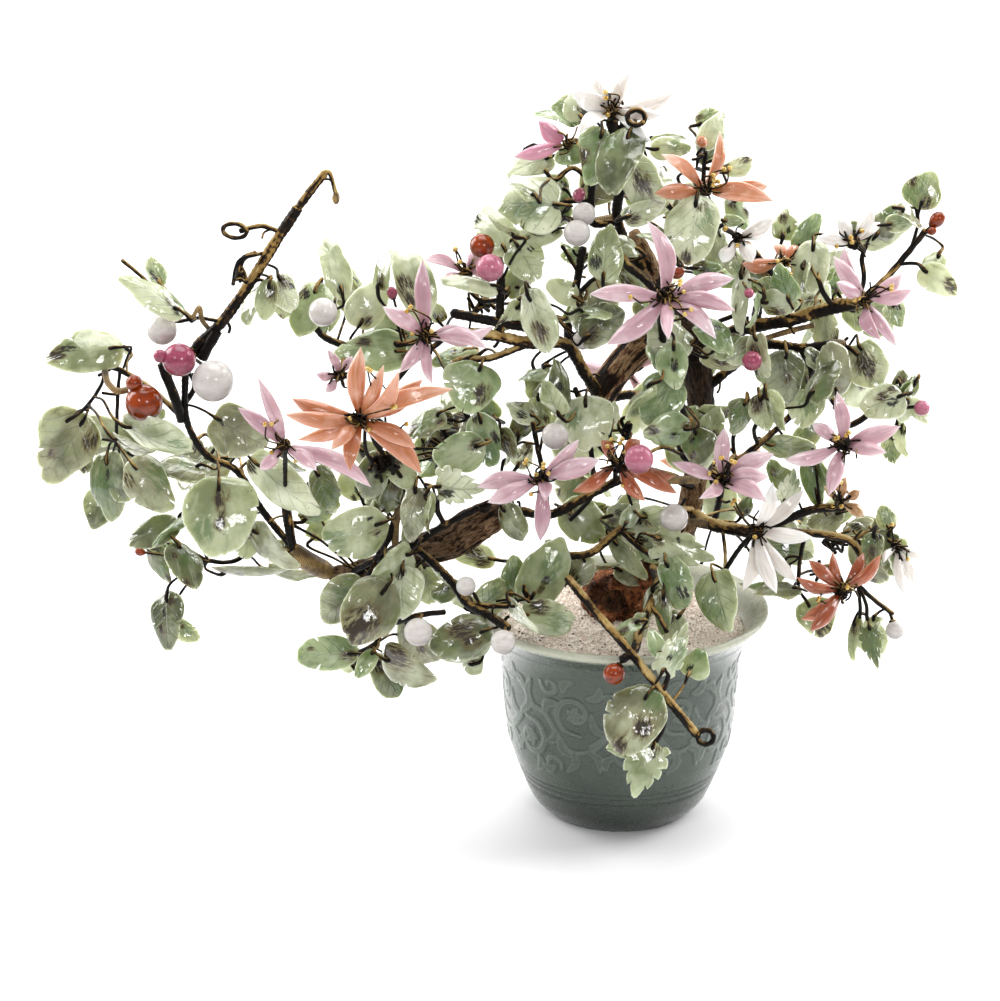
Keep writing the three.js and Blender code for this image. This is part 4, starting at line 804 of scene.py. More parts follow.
                1.5, [800, 348, -4], [812, 374, 0], [806, 396, 2], [786, 420, 2], [758, 445, 6],
                [736, 462, 10],
            ],
            [1.4, [812, 374, 0], [834, 402, 4], [848, 425, 8], [878, 410, 8], [903, 412, 8]],
            [1.0, [736, 462, 10], [733, 440, 10], [738, 425, 12]],
            [1.0, [758, 445, 6], [754, 430, 12], [760, 418, 16]],
            [1.2, [835, 345, 0], [850, 348, 2], [858, 355, 4]],
        ],
        "leaves": [
            [868, 364, 4, 290, 26, 23, 5, 10, "pale", [868, 364, BROWN, 9]],
            [833, 370, 12, 95, 30, 19, 5, 10, "smoky", [833, 370, BLACK, 3]],
            [785, 376, 9, 270, 29, 22, 8, 8, "dark"], [806, 408, 14, 260, 22, 20, 5, 10],
            [884, 403, 16, 200, 24, 18, 5, 10, "pale"],
            [738, 416, 16, 250, 20, 14, 5, -10, "dark", [738, 416, GREEN, 10]],
            [790, 445, -4, 350, 30, 15, -8, 20], [790, 385, -26, 200, 32, 24, -15, 10, "dark"],
            [850, 385, -22, 320, 32, 24, -20, 10, "pale"],
            [812, 358, 6, 120, 12, 10, 0, 20, "dark", [812, 358, BLACK, 4]],
            [898, 384, 0, 60, 16, 9, -5, 20, "dark", [898, 384, BROWN, 6]],
            [916, 410, 6, 310, 18, 9, 0, 20, "pale"], [903, 438, 4, 280, 19, 10, 0, 40, "pale"],
            [763, 412, 22, 280, 19, 14, 5, 10, [757, 403, BROWN, 7]],
        ],
        "buds": [[780, 423, 8, 3, "red"]],
        "bindings": [[2.0, [827, 343, 4], [845, 343, 4]]],
        "wires": [[1.5, 1, [766, 338, 0], [790, 331, 2], [814, 325, 3]]],
    },
    "branch_right_low": {
        "stems": [
            [2.9, [694, 514, -10], [706, 522, -4], [722, 527, 2], [740, 530, 6], [757, 533, 8]],
            [2.0, [757, 533, 8], [790, 518, 6], [815, 509, 6], [845, 507, 6]],
            [1.8, [757, 533, 8], [805, 533, 8], [850, 541, 10], [862, 560, 12], [858, 585, 14]],
            [1.2, [850, 541, 10], [872, 532, 8], [890, 545, 6]],
            [1.1, [858, 585, 14], [872, 598, 14], [893, 614, 14]],
            [0.9, [722, 527, 2], [725, 550, 12], [725, 573, 26]],
            [0.9, [858, 585, 14], [860, 604, 14], [860, 618, 14]],
            [0.9, [858, 585, 14], [866, 604, 16], [867, 620, 16]],
            [1.0, [805, 533, 8], [800, 560, 10], [798, 585, 12]],
        ],
        "gilt": [0, 2],
        "leaves": [
            [787, 488, 8, 70, 20, 14, 5, 10, "cut"],
            [816, 482, 0, 280, 26, 14, 0, 10, "green", [816, 482, GREEN, 14]],
            [787, 552, 0, 350, 27, 18, -5, 15, "cut"],
            [722, 600, 32, 285, 32, 22, 10, 5, [712, 612, GREEN, 14]],
            [777, 592, 14, 180, 25, 13, 0, 50, "smoky"],
            [815, 618, 8, 300, 23, 20, -5, 10, [822, 628, BROWN, 8]], [855, 639, 14, 262, 23, 8, 0, 30],
            [873, 644, 18, 280, 24, 11, 5, 10, "cut", "dark", [873, 644, GREEN, 14]],
            [790, 540, -28, 330, 32, 24, -20, 10, "smoky"], [872, 560, -18, 300, 30, 20, -20, 10, "smoky"],
            [826, 518, -6, 200, 20, 14, 0, 10, "smoky"], [885, 518, 4, 110, 13, 11, 0, 10, "pale"],
            [873, 547, 18, 260, 16, 12, 5, 10, "dark"], [893, 562, 0, 250, 14, 12, -5, 10, "dark"],
            [858, 527, 2, 20, 18, 8, 0, 20, "smoky"], [745, 506, -8, 60, 13, 9, -5, 10, "dark"],
        ],
        "bindings": [[2.4, [690, 522, -4], [720, 527, 0], [750, 533, 4]]],
        "tangles": [[838, 540, -4, 9, 7], [820, 572, 0, 7, 5]],
    },
    "branch_front": {
        "stems": [
            [
                2.0, [652, 566, -7], [657, 585, 17], [650, 606, 32], [640, 628, 46], [634, 650, 58],
                [622, 660, 63],
            ],
            [
                1.9, [568, 578, 37], [594, 610, 50], [620, 640, 58], [640, 664, 62], [662, 692, 65],
                [697, 735, 65],
            ],
            [1.1, [650, 606, 32], [660, 618, 40], [667, 632, 45]],
            [1.1, [662, 692, 65], [655, 705, 66], [651, 712, 67]],
            [1.1, [662, 692, 65], [664, 725, 65], [656, 742, 65]],
            [1.2, [662, 692, 65], [668, 676, 65], [664, 668, 65]],
        ],
        "gilt": [1],
        "leaves": [
            [
                634, 720, 68, 238, 38, 29, 0, 5, "slit", "smoky", [645, 727, BROWN, 8],
                [622, 743, BROWN, 7], [655, 700, GREEN, 10],
            ],
            [645, 766, 66, 250, 31, 21, 0, -5, "cut"], [672, 652, 62, 62, 31, 13, 0, 20, "cut"],
            [655, 644, 60, 110, 15, 11, 0, 20], [628, 628, 54, 200, 15, 9, 0, 40],
        ],
        "loops": [[705.5, 737, 65, 7.4, 6.6, 0, 1.25, 1.5]],
    },
    "branch_back": {
        "stems": [
            [2.2, [700, 430, -12], [690, 425, -30], [665, 410, -48], [635, 395, -58], [600, 400, -62]],
            [1.8, [665, 410, -48], [672, 370, -56], [668, 330, -58], [655, 300, -56]],
            [1.6, [690, 425, -30], [712, 440, -50], [722, 480, -60], [715, 520, -60]],
            [1.6, [600, 400, -62], [570, 430, -58], [560, 470, -54]],
        ],
        "leaves": [
            [660, 345, -68, 120, 32, 26, -15, 20], [690, 370, -66, 30, 34, 24, -20, 10, "dark"],
            [645, 410, -70, 230, 34, 26, -15, -10], [600, 430, -68, 250, 34, 26, -20, 10, "pale"],
            [655, 300, -62, 60, 30, 22, -10, 10, "dark"], [690, 450, -64, 300, 34, 26, -20, 10],
            [720, 500, -68, 290, 34, 24, -15, 10], [575, 490, -58, 270, 30, 22, -10, 10, "smoky"],
            [672, 540, -62, 230, 32, 24, -20, 20],
        ],
    },
}

# Blooms: a petal is [tip u, tip v, depth of the tip from the core, width]; seeds are places of gold seeds
BLOOMS = {
    "bloom_lilac_side": {
        "colour": "lilac", "branch": "branch_upper_left", "core": [340, 376, 26],
        "petals": [[328, 350, 4, 6], [316, 374, 4, 6], [352, 356, -2, 6], [326, 392, 6, 6]],
    },
    "bloom_coral_left": {
        "colour": "coral", "branch": "branch_upper_left", "core": [360, 420, 58],
        "petals": [
            [361, 348, 4, 10], [292, 399, 4, 10], [286, 414, 10, 9], [298, 440, 6, 10], [422, 380, 2, 11],
            [452, 388, 8, 10], [422, 473, 4, 11], [415, 447, 10, 10], [350, 470, 12, 9], [398, 372, 12, 9],
            [383, 366, 8, 8], [332, 449, 14, 8],
        ],
        "seeds": [[370, 372], [392, 408], [405, 424]],
    },
    "bloom_pink_left": {
        "colour": "lilac", "branch": "branch_left", "core": [285, 445, 44],
        "petals": [
            [257, 378, 2, 9], [238, 408, 0, 9], [316, 470, 10, 9], [372, 487, -4, 10], [260, 470, 4, 8],
        ],
        "seeds": [[272, 425]],
    },
    "bloom_lilac_upper": {
        "colour": "lilac", "branch": "branch_upper_left", "core": [426, 336, 36],
        "petals": [
            [422, 260, -2, 10], [383, 307, 4, 9], [494, 327, 0, 9], [482, 339, 6, 9], [486, 347, 12, 9],
            [400, 372, 8, 8], [432, 384, 4, 8],
        ],
        "seeds": [[411, 308]],
    },
    "bloom_pink_behind": {
        "colour": "lilac", "branch": "branch_upper_left", "core": [466, 272, 6],
        "petals": [[424, 259, 0, 8], [444, 285, 6, 8], [478, 250, -8, 8], [484, 268, -6, 8]],
        "seeds": [[456, 250]],
    },
    "bloom_white_crown": {
        "colour": "white", "branch": "branch_crown_left", "core": [612, 112, 8],
        "petals": [
            [592, 74, 0, 8], [630, 71, 2, 8], [676, 93, 0, 9], [662, 115, 8, 7], [571, 92, 4, 12],
            [579, 132, 12, 9], [652, 142, 14, 7],
        ],
        "seeds": [[606, 99]],
    },
    "bloom_pink_crown": {
        "colour": "magenta", "branch": "branch_crown_left", "core": [568, 143, 12],
        "petals": [[539, 121, 4, 11], [514, 157, 2, 8], [545, 135, -4, 8]],
    },
    "bloom_coral_crown": {
        "colour": "coral", "branch": "branch_crown_right", "core": [706, 190, 8],
        "petals": [
            [661, 154, -2, 9], [655, 193, 6, 9], [720, 132, -4, 9], [768, 186, -2, 10], [773, 200, 4, 12],
        ],
        "seeds": [[713, 176], [723, 170]],
    },
    "bloom_lilac_centre": {
        "colour": "lilac", "branch": "branch_trunk", "core": [666, 297, 36],
        "petals": [
            [648, 221, -2, 10], [734, 278, 0, 10], [734, 311, 6, 11], [716, 338, 10, 10], [668, 338, 20, 8],
            [607, 344, 6, 12], [590, 294, 2, 10],
        ],
        "seeds": [[679, 285], [690, 309], [632, 297]],
    },
    "bloom_white_right": {
        "colour": "white", "branch": "branch_right_up", "core": [737, 238, 12],
        "petals": [[775, 216, 0, 8], [722, 262, 8, 9], [752, 262, 8, 9], [762, 236, -4, 8]],
    },
    "bloom_coral_right": {
        "colour": "coral", "branch": "branch_right_up", "core": [784, 262, 4],
        "petals": [[742, 264, 2, 9], [779, 244, -6, 8], [798, 246, -8, 7]],
    },
    "bloom_white_far": {
        "colour": "white", "branch": "branch_right_up", "core": [854, 243, 12],
        "petals": [[873, 209, -2, 9], [838, 218, 0, 8], [818, 237, 2, 7], [880, 222, -8, 8]],
        "seeds": [[851, 238]],
    },
    "bloom_pink_right": {
        "colour": "lilac", "branch": "branch_right_up", "core": [864, 300, 28],
        "petals": [
            [844, 247, -4, 9], [834, 257, 4, 9], [838, 283, 12, 9], [902, 274, 0, 9], [912, 290, 6, 9],
            [897, 346, 4, 9], [880, 340, 12, 8],
        ],
        "seeds": [[890, 290]],
    },
    "bloom_pink_low": {
        "colour": "lilac", "branch": "branch_right_middle", "core": [843, 446, 26],
        "petals": [
            [837, 392, 0, 9], [900, 427, 4, 11], [886, 452, 12, 9], [812, 424, -2, 8], [785, 460, 6, 9],
            [829, 495, 10, 10],
        ],
        "seeds": [[838, 438], [846, 436]],
    },
    "bloom_lilac_front": {
        "colour": "lilac", "branch": "branch_right_middle", "core": [722, 480, 38],
        "petals": [
            [725, 428, -2, 9], [774, 454, 0, 11], [768, 477, 6, 12], [766, 501, 12, 10], [673, 462, 2, 8],
            [700, 498, 14, 8],
        ],
        "seeds": [[722, 459], [734, 463]],
    },
    "bloom_white_low": {
        "colour": "white", "branch": "branch_right_low", "core": [756, 531, 30],
        "petals": [
            [773, 483, 4, 9], [804, 490, -2, 9], [813, 537, 6, 12], [743, 591, 4, 10], [777, 593, 10, 9],
            [797, 582, 0, 8],
        ],
        "seeds": [[733, 505]],
    },
    "bloom_coral_low": {
        "colour": "coral", "look": "rust", "branch": "branch_right_low", "core": [843, 592, 30],
        "petals": [
            [797, 578, 2, 8], [809, 560, -4, 8], [833, 552, -8, 6], [864, 553, -8, 9], [881, 555, -2, 9],
            [802, 620, 8, 9], [811, 631, 14, 9],
        ],
        "seeds": [[820, 598]],
    },
    "bloom_white_edge": {
        "colour": "white", "branch": "branch_right_low", "core": [896, 546, 16],
        "petals": [[914, 586, 4, 7], [904, 594, 10, 6], [924, 560, -2, 7], [884, 562, 12, 5]],
    },
    "bloom_orange_bud": {
        "colour": "orange", "branch": "branch_right_low", "core": [840, 501, 16],
        "petals": [[846, 477, 2, 7], [860, 491, 2, 6], [864, 516, 2, 8], [824, 486, 4, 6]],
        "seeds": [[836, 482]],
    },
    "bloom_lilac_middle": {
        "colour": "lilac", "branch": "branch_centre", "core": [541, 479, 36],
        "petals": [
            [477, 487, -2, 10], [488, 502, 6, 10], [579, 440, -2, 10], [599, 460, 2, 12], [540, 541, 6, 10],
            [545, 500, 14, 8],
        ],
        "seeds": [[543, 468], [527, 461], [548, 474]],
    },
    "bloom_coral_centre": {
        "colour": "coral", "look": "rust", "branch": "branch_centre", "core": [617, 464, 28],
        "petals": [
            [573, 491, 4, 9], [644, 501, 8, 9], [677, 493, 4, 10], [675, 476, -2, 10], [602, 440, 0, 8],
            [640, 440, -6, 8],
        ],
        "seeds": [[608, 447], [622, 440]],
    },
    "bloom_lilac_back": {
        "colour": "lilac", "branch": "branch_back", "core": [628, 372, -84],
        "petals": [
            [628, 318, -4, 10], [678, 350, -4, 10], [664, 415, -4, 10], [600, 425, -4, 10],
            [575, 362, -4, 10],
        ],
    },
    "bloom_coral_back": {
        "colour": "coral", "branch": "branch_back", "core": [712, 470, -84],
        "petals": [
            [712, 416, -4, 10], [762, 448, -4, 10], [748, 513, -4, 10], [684, 523, -4, 10],
            [659, 460, -4, 10],
        ],
    },
}

# Beads: [look, branch, balls as [u, v, layer, radius]]; a name's second word is its colour
BEADS = {
    "bead_white_far_left": ["white", "branch_left", [162, 330, 24, 7.3]],
    "bead_white_left": ["white", "branch_left", [213, 381, 34, 10]],
    "bead_white_upper": ["white", "branch_upper_left", [323, 312, 34, 6.8]],
    "bead_white_bough": ["white", "branch_bough", [418, 632, 50, 6.8]],
    "bead_white_rim": ["white", "branch_bough", [503, 642, 58, 6]],
    "bead_white_capped": ["white", "branch_bough", [466, 586, 40, 4.8]],
    "bead_white_pair": ["white", "branch_crown_left", [577, 233, 18, 6.4], [584, 214, 14, 5.6]],
    "bead_white_middle": ["white", "branch_centre", [555, 436, 24, 6.6]],
    "bead_white_centre": ["white", "branch_middle", [674, 518, 18, 7]],
    "bead_white_low": ["white", "branch_right_low", [895, 630, 16, 4.8]],
    "bead_magenta_left": ["magenta", "branch_left", [179, 360, 34, 8], [160, 356, 36, 3.2]],
    "bead_magenta_upper": ["rose", "branch_upper_left", [490, 268, 30, 6.6]],
    "bead_magenta_centre": ["rose", "branch_trunk", [639, 459, 48, 6.9]],
    "bead_magenta_right": ["magenta", "branch_trunk", [752, 361, 24, 4.8]],
    "bead_magenta_far": ["rose", "branch_right_middle", [922, 408, 16, 3.9]],
    "bead_orange_left": ["orange", "branch_left", [144, 403, 30, 9], [134, 383, 30, 4]],
    "bead_orange_upper": ["orange", "branch_upper_left", [482, 246, 20, 6]],
    "bead_orange_front": ["orange", "branch_front", [614, 674, 64, 5.3]],
}

# Limbs of the trunk, and the bough
TRUNK = [
    {
        "points": [[620, 612, -10], [640, 580, -12], [672, 545, -14], [690, 510, -14], [697, 460, -14]],
        "radii": [13, 13, 11, 7.5, 6.6, 6.6],
    },
    {
        "points": [[697, 470, -14], [702, 420, -14], [699, 375, -14], [690, 338, -14], [668, 312, -16]],
        "radii": [6.6, 6.8, 7.2, 7.2, 7],
    },
    {
        "points": [
            [598, 397, -12], [622, 364, -14], [650, 331, -16], [662, 300, -16], [648, 262, -14],
            [632, 232, -12],
        ],
        "radii": [7.4, 7.8, 7.6, 6.6, 4.6, 3],
    },
    {"points": [[612, 598, -22], [615, 600, -2]], "radii": [15, 13.5]},
]
BOUGH = {
    "points": [[332, 577, 5], [370, 569, 5], [410, 553, 5], [450, 540, 4], [478, 524, 5], [501, 511, 6]],
    "radii": [5, 6.2, 6.4, 9, 9.4, 7],
}


# Wood: limbs run together into one skin, then bark ridges and cracks are worked into it

LIMB_STEP = 1.4
LIMB_SIDES = 24
SEPARATE = 90  # keeps the grain of one limb apart from that of the next


def limb_path(points, radii):
    path = curve([at(p) for p in points], LIMB_STEP)
    share = np.linspace(0, len(radii) - 1, len(path))
    return path, np.interp(share, np.arange(len(radii)), radii)


def skin(limbs, voxel):
    """One closed mesh round all the limbs, as points and quads."""
    body = Piece()
    for path, radius in limbs:
        tube(body, path, radius, LIMB_SIDES, nose=0.12)
    rough = body.build("wood_core", [])
    remesh = rough.modifiers.new("skin", "REMESH")
    remesh.mode = "VOXEL"
    remesh.voxel_size = voxel * METRE
    bpy.context.view_layer.update()
    shell = rough.evaluated_get(bpy.context.evaluated_depsgraph_get()).to_mesh()
    points = np.empty(len(shell.vertices) * 3)
    shell.vertices.foreach_get("co", points)
    normals = np.empty(len(shell.vertices) * 3)
    shell.vertices.foreach_get("normal", normals)
    faces = [list(p.vertices) + [-1] * (4 - len(p.vertices)) for p in shell.polygons]
    rough.to_mesh_clear()
    core = rough.data
    bpy.data.objects.remove(rough)
    bpy.data.meshes.remove(core)
    return points.reshape(-1, 3) / METRE, normals.reshape(-1, 3), np.array(faces)


def grain(points, limbs):
    """Where each point is on its nearest limb: round it, scaled to its girth, and along it."""
    best = np.full(len(points), 1e9)
    found = np.zeros((len(points), 3))
    near = np.zeros(len(points), int)
    for number, (path, radius) in enumerate(limbs):
        _, across, over = transported(path)
        gone = travelled(path) + SEPARATE * number
        away = np.linalg.norm(points[:, None] - path[None], axis=2) - radius
        i = away.argmin(axis=1)
        closest = away[np.arange(len(points)), i]
        nearer = closest < best - 0.4
        arm = points - path[i]
        angle = np.arctan2((arm * over[i]).sum(1), (arm * across[i]).sum(1))
        row = np.column_stack([radius[i] * np.cos(angle), radius[i] * np.sin(angle), gone[i]])
        found[nearer] = row[nearer]
        near[nearer] = number
        best[nearer] = closest[nearer]
    return found, near


def bark(points, normals, found, depth, seed):
    """Ridges that run along the grain, broken by cracks and small knobs."""
    stretched = found * [1.0, 1.0, 0.2]
    warp = noise(found * [0.4, 0.4, 0.12], 2.0, seed + 5)[:, None] - 0.5
    ridges = 1 - np.abs(2 * noise(stretched + 1.6 * warp, 1.9, seed) - 1)
    coarse = 1 - np.abs(2 * noise(stretched + 2.5 * warp, 4.2, seed + 1) - 1)
    flakes = noise(found * [1.0, 1.0, 0.5], 1.4, seed + 2)
    cracks = smooth(0.58, 0.74, noise(found * [0.9, 0.9, 0.13], 3.0, seed + 3))
    relief = 0.6 * ridges + 0.6 * coarse + 0.45 * flakes - 0.75 * cracks
    lumps = noise(found * [1.0, 1.0, 0.7], 6.5, seed + 7) - 0.5
    return points + normals * (depth * (relief + 1.3 * lumps - 0.9))[:, None], relief


def wooden(name, limbs, grained, tones, nodes, voxel, depth, seed, carve):
    """A wooden piece; its grain follows the `grained` limbs, each of which has a tone, dark to light."""
    points, normals, faces = skin(limbs, voxel)
    found, near = grain(points, grained)
    points, relief = bark(points, normals, found, depth, seed)
    marks = np.zeros((len(points), 3))
    marks[:, 0] = relief
    marks[:, 2] = np.array(tones)[near]
    points, marks = carve(points, normals, marks)
    piece = Piece()
    piece.add(points, faces, 0, found * [1.0, 1.0, 0.22], marks)
    return piece.build(name, [WOOD], nodes)


def hollow(points, marks, centre, aim, radius, depth):
    """A round hollow with a raised lip; what lies in it is cut wood."""
    aim = unit(aim)
    arm = points - centre
    far = arm @ aim
    off = np.linalg.norm(arm - np.outer(far, aim), axis=1)
    facing = smooth(-9, -5, far)
    pit = smooth(radius, radius * 0.75, off) * facing
    lip = np.exp(-(((off - radius * 1.08) / 1.4) ** 2)) * facing
    points = points - np.outer(depth * pit - 0.9 * lip, aim)
    marks[:, 1] = np.maximum(marks[:, 1], pit)
    return points, marks


def crumbled(points, normals, centre, reach):
    """Rough, crumbly wood around a place."""
    near = smooth(reach, reach * 0.6, np.linalg.norm(points - centre, axis=1))
    rough = 4.2 * (noise(points, 5.5, 21) - 0.5) + 2.6 * (noise(points, 2.3, 22) - 0.5)
    rough += 1.6 * (np.abs(2 * noise(points, 3.6, 23) - 1) - 0.35)
    return points + normals * (rough * near)[:, None]


# Pot: turned body with a scrolled relief under the rim and ring grooves above the foot

# Profiles of the pot, as [radius, height]
POT_OUTER = [
    [37.2, 0.0], [41.0, 3.2], [45.0, 7.8], [47.6, 13.0], [50.3, 19.5], [53.2, 27.0], [55.6, 34.0],
    [56.2, 36.0], [58.2, 48.0], [59.5, 62.0], [60.2, 74.0], [61.0, 84.0], [62.8, 91.0], [66.0, 97.2],
    [70.3, 102.4], [74.2, 106.2],
]
POT_LIP = [[75.0, 107.6], [75.0, 108.8], [74.2, 109.8], [73.0, 109.9]]
POT_INNER = [
    [70.2, 107.4], [66.0, 103.4], [62.4, 98.6], [59.5, 93.0], [57.0, 88.0], [54.4, 64.0], [52.0, 40.0],
]
# Steps of the mesh up the outside: heights, and steps there in parts of the profile's
POT_HEIGHTS = [0, 14, 17, 29, 32, 35, 94, 97, 110]
POT_STEPS = [1.8, 1.8, 0.55, 0.55, 1.2, 0.68, 0.68, 1.2, 1.2]
POT_SIDES = 440
POT_GROOVES = [[19.6, 0.8, 0.9], [23.6, 0.6, 0.8], [26.6, 0.6, 0.8], [98.8, 0.9, 0.45]]
RELIEF_LOW, RELIEF_HIGH = 33.0, 94.0
RELIEF_DEPTH = 0.62
RELIEF_WIDTH = 53.0  # of one motif, round the pot
MOTIFS = 7


def stroke(knots, broad, narrow=0.4):
    """A tapering line as discs [x, y, radius] close together, in millimetres."""
    path = curve([[x, y, 0] for x, y in knots], 0.5)
    place = np.linspace(0, 1, len(path))
    swell = np.sin(math.pi * np.clip(0.12 + 0.86 * place, 0, 1)) ** 0.9
    return np.column_stack([path[:, :2], narrow + (broad - narrow) * swell])


def volute(x, y, size, start, turns, hand):
    share = np.linspace(0, 1, 10)
    angle = start + hand * 2 * math.pi * turns * share
    reach = size * (1 - 0.8 * share)
    return [[x + r * math.cos(t), y + r * math.sin(t)] for r, t in zip(reach, angle)]


def leaflet(x, y, heading, size, bend):
    tip = [x + size * math.cos(heading), y + size * math.sin(heading)]
    mid = [x + 0.5 * size * math.cos(heading + bend), y + 0.5 * size * math.sin(heading + bend)]
    return [[x, y], mid, tip]


def scrollwork():
    """One motif of a running scroll: a waving stem with volutes, leaves and a flower between."""
    width = RELIEF_WIDTH
    lines = [
        stroke(
            [[-4, 22], [5, 29], [14, 37], [24, 36], [31, 27], [39, 18], [48, 19], [53, 22], [60, 29]],
            1.3, 1.0,
        ),
        stroke(volute(14, 20, 11.5, 1.9, 1.3, -1), 1.6),
        stroke(volute(41, 38, 11.5, 5.0, 1.3, -1), 1.6),
        stroke(volute(28, 52, 5.5, 2.9, 1.1, 1), 1.3),
        stroke(volute(28, 8, 5.5, 6.0, 1.1, 1), 1.3),
    ]
    for x, y, heading, size, bend in (
        (5, 29, 2.2, 14, 0.5), (7, 32, 1.2, 15, -0.5), (16, 38, 1.6, 14, 0.5), (24, 36, 0.6, 12, 0.6),
        (31, 27, 3.9, 9, 0.5), (33, 24, 5.4, 12, -0.5), (40, 18, 4.4, 13, 0.5), (48, 19, 5.2, 13, 0.5),
        (19, 10, 4.4, 8, 0.5), (22, 6, 0.2, 7, -0.5), (35, 50, 0.8, 9, 0.5), (48, 48, 0.9, 10, -0.6),
        (4, 10, 1.0, 9, 0.5), (3, 50, 5.6, 9, 0.5),
    ):
        lines.append(stroke(leaflet(x, y, heading, size, bend), 2.4))
    for k in range(5):
        for x, y in ((14.0, 20.0), (41.0, 38.0)):
            lines.append(stroke(leaflet(x, y, 1.2 + 1.257 * k, 4.6, 0.35), 1.6))
    discs = np.vstack(lines)
    return np.vstack([discs + [shift, 0, 0] for shift in (-width, 0, width)])


def relief_height(turns, heights):
    """The raised relief, 0 to 1, at each pair of turn (0 to 1) and height: edges stand above the bodies."""
    discs = scrollwork()
    x = (turns * MOTIFS) % 1 * RELIEF_WIDTH
    y = heights - RELIEF_LOW
    outside = np.full(len(x), 9.0)
    for dx, dy, radius in discs:
        if -4 < dx < RELIEF_WIDTH + 4:
            outside = np.minimum(outside, np.hypot(x - dx, y - dy) - radius)
    body = 0.6 * smooth(0.5, -0.9, outside)
    edge = 0.4 * np.exp(-(((outside + 0.3) / 0.55) ** 2))
    tall = RELIEF_HIGH - RELIEF_LOW
    return (body + edge) * smooth(-0.5, 2.0, y) * smooth(tall + 0.5, tall - 2.0, y)


def turned(profile, step):
    return curve([[r, z, 0] for r, z in profile], step)[:, :2]


def pot(piece):
    fine = turned(POT_OUTER + POT_LIP, 0.2)
    steps = np.interp(fine[:, 1], POT_HEIGHTS, POT_STEPS)
    gone = np.r_[0, np.cumsum(np.linalg.norm(np.diff(fine, axis=0), axis=1) / steps[1:])]
    want = np.linspace(0, gone[-1], int(round(gone[-1])) + 1)
    outer = np.column_stack([np.interp(want, gone, fine[:, k]) for k in (0, 1)])
    inner = turned([POT_LIP[-1]] + POT_INNER, 3.2)
    profile = np.vstack([outer, inner[1:]])
    sides = POT_SIDES
    turns = np.arange(sides) / sides
    rows = len(profile)
    radius = np.repeat(profile[:, 0][:, None], sides, 1)
    height = np.repeat(profile[:, 1][:, None], sides, 1)
    raised = np.zeros_like(radius)
    outside = np.arange(rows) < len(outer)
    carved = outside & (profile[:, 1] > RELIEF_LOW - 2) & (profile[:, 1] < RELIEF_HIGH + 2)
    raised[carved] = relief_height(np.tile(turns, carved.sum()), height[carved].ravel()).reshape(-1, sides)
    radius = radius + RELIEF_DEPTH * raised - 0.35
    for level, half, depth in POT_GROOVES:
        cut = np.exp(-(((outer[:, 1] - level) / half) ** 2))
        radius[: len(outer)] -= (depth * cut)[:, None]
    angle = turns * 2 * math.pi
    points = np.stack([radius * np.cos(angle), radius * np.sin(angle), height], axis=-1)
    points[..., :2] *= 1 + 0.006 * (noise(points, 19.0, 9)[..., None] - 0.5)
    n = rows * sides
    marks = np.zeros((n + 2, 3))
    marks[:n, 0] = raised.ravel()
    # Paler glaze on the lip and inside wall: glaze that thins at the lip, with painted light on both.
    inside = np.where(outside, 0.0, 0.62)
    marks[:n, 1] = np.repeat(np.maximum(smooth(103, 108.5, profile[:, 1]), inside), sides)
    ends = [[0, 0, 0.4], [0, 0, 38.0]]
    piece.add(np.vstack([points.reshape(-1, 3), ends]), closed_faces(rows, sides), 0, None, marks)


# Gravel: a bed whose top is covered with stone chips

GRAVEL_FLOOR = 84.0
CHIP_COUNT = 8400
GRAVEL_SEED = 4
FACETS = np.array([[0, 2, 4], [2, 1, 4], [1, 3, 4], [3, 0, 4], [2, 0, 5], [1, 2, 5], [3, 1, 5], [0, 3, 5]])


def bed(x, y):
    """Height of the gravel bed."""
    r2 = (np.asarray(x) ** 2 + np.asarray(y) ** 2) / GRAVEL_RADIUS**2
    rough = noise(np.stack([x, y, np.zeros_like(x)], -1), 11.0, 2) - 0.5
    return GRAVEL_TOP - 0.2 - 1.6 * r2 + 0.5 * rough


def gravel(piece):
    rings, sides = 26, 120
    reach = np.linspace(0.02, 1, rings) * GRAVEL_RADIUS
    angle = np.arange(sides) / sides * 2 * math.pi
    x, y = np.outer(reach, np.cos(angle)), np.outer(reach, np.sin(angle))
    top = np.stack([x, y, bed(x, y)], axis=-1)
    low = top[-1:] * [0.92, 0.92, 0] + [0, 0, GRAVEL_FLOOR]
    rows = np.vstack([top, low])
    points = np.vstack([rows.reshape(-1, 3), [[0, 0, bed(0, 0)], [0, 0, GRAVEL_FLOOR]]])
    marks = np.tile([0.5, 0.0, 0.0], (len(points), 1))
    piece.add(points, closed_faces(rings + 1, sides, True), 0, None, marks)
    rng = np.random.default_rng(GRAVEL_SEED)
    total = CHIP_COUNT
    reach = GRAVEL_RADIUS * 0.985 * np.sqrt(rng.uniform(0, 1, total))
    angle = rng.uniform(0, 2 * math.pi, total)
    place = np.column_stack([reach * np.cos(angle), reach * np.sin(angle), np.zeros(total)])
    size = rng.uniform(0.35, 0.8, total)
    place[:, 2] = bed(place[:, 0], place[:, 1]) + 0.3 * size
    axis = unit(rng.normal(size=(total, 3)))
    side = unit(np.cross(axis, rng.normal(size=(total, 3))))
    other = np.cross(axis, side)
    frames = np.stack([axis, -axis, side, -side, other, -other], axis=1)
    chips = place[:, None] + frames * rng.uniform(0.6, 1.35, (total, 6, 1)) * size[:, None, None]
    faces = (FACETS[None] + 6 * np.arange(total)[:, None, None]).reshape(-1, 3)
    faces = np.column_stack([faces, np.full(len(faces), -1)])
    marks = np.zeros((total, 6, 3))
    marks[..., 0] = rng.uniform(0, 1, total)[:, None]
    marks[..., 1] = (rng.uniform(0, 1, total) < 0.04)[:, None]
    piece.add(chips.reshape(-1, 3), faces, 0, None, marks.reshape(-1, 3))


# Materials

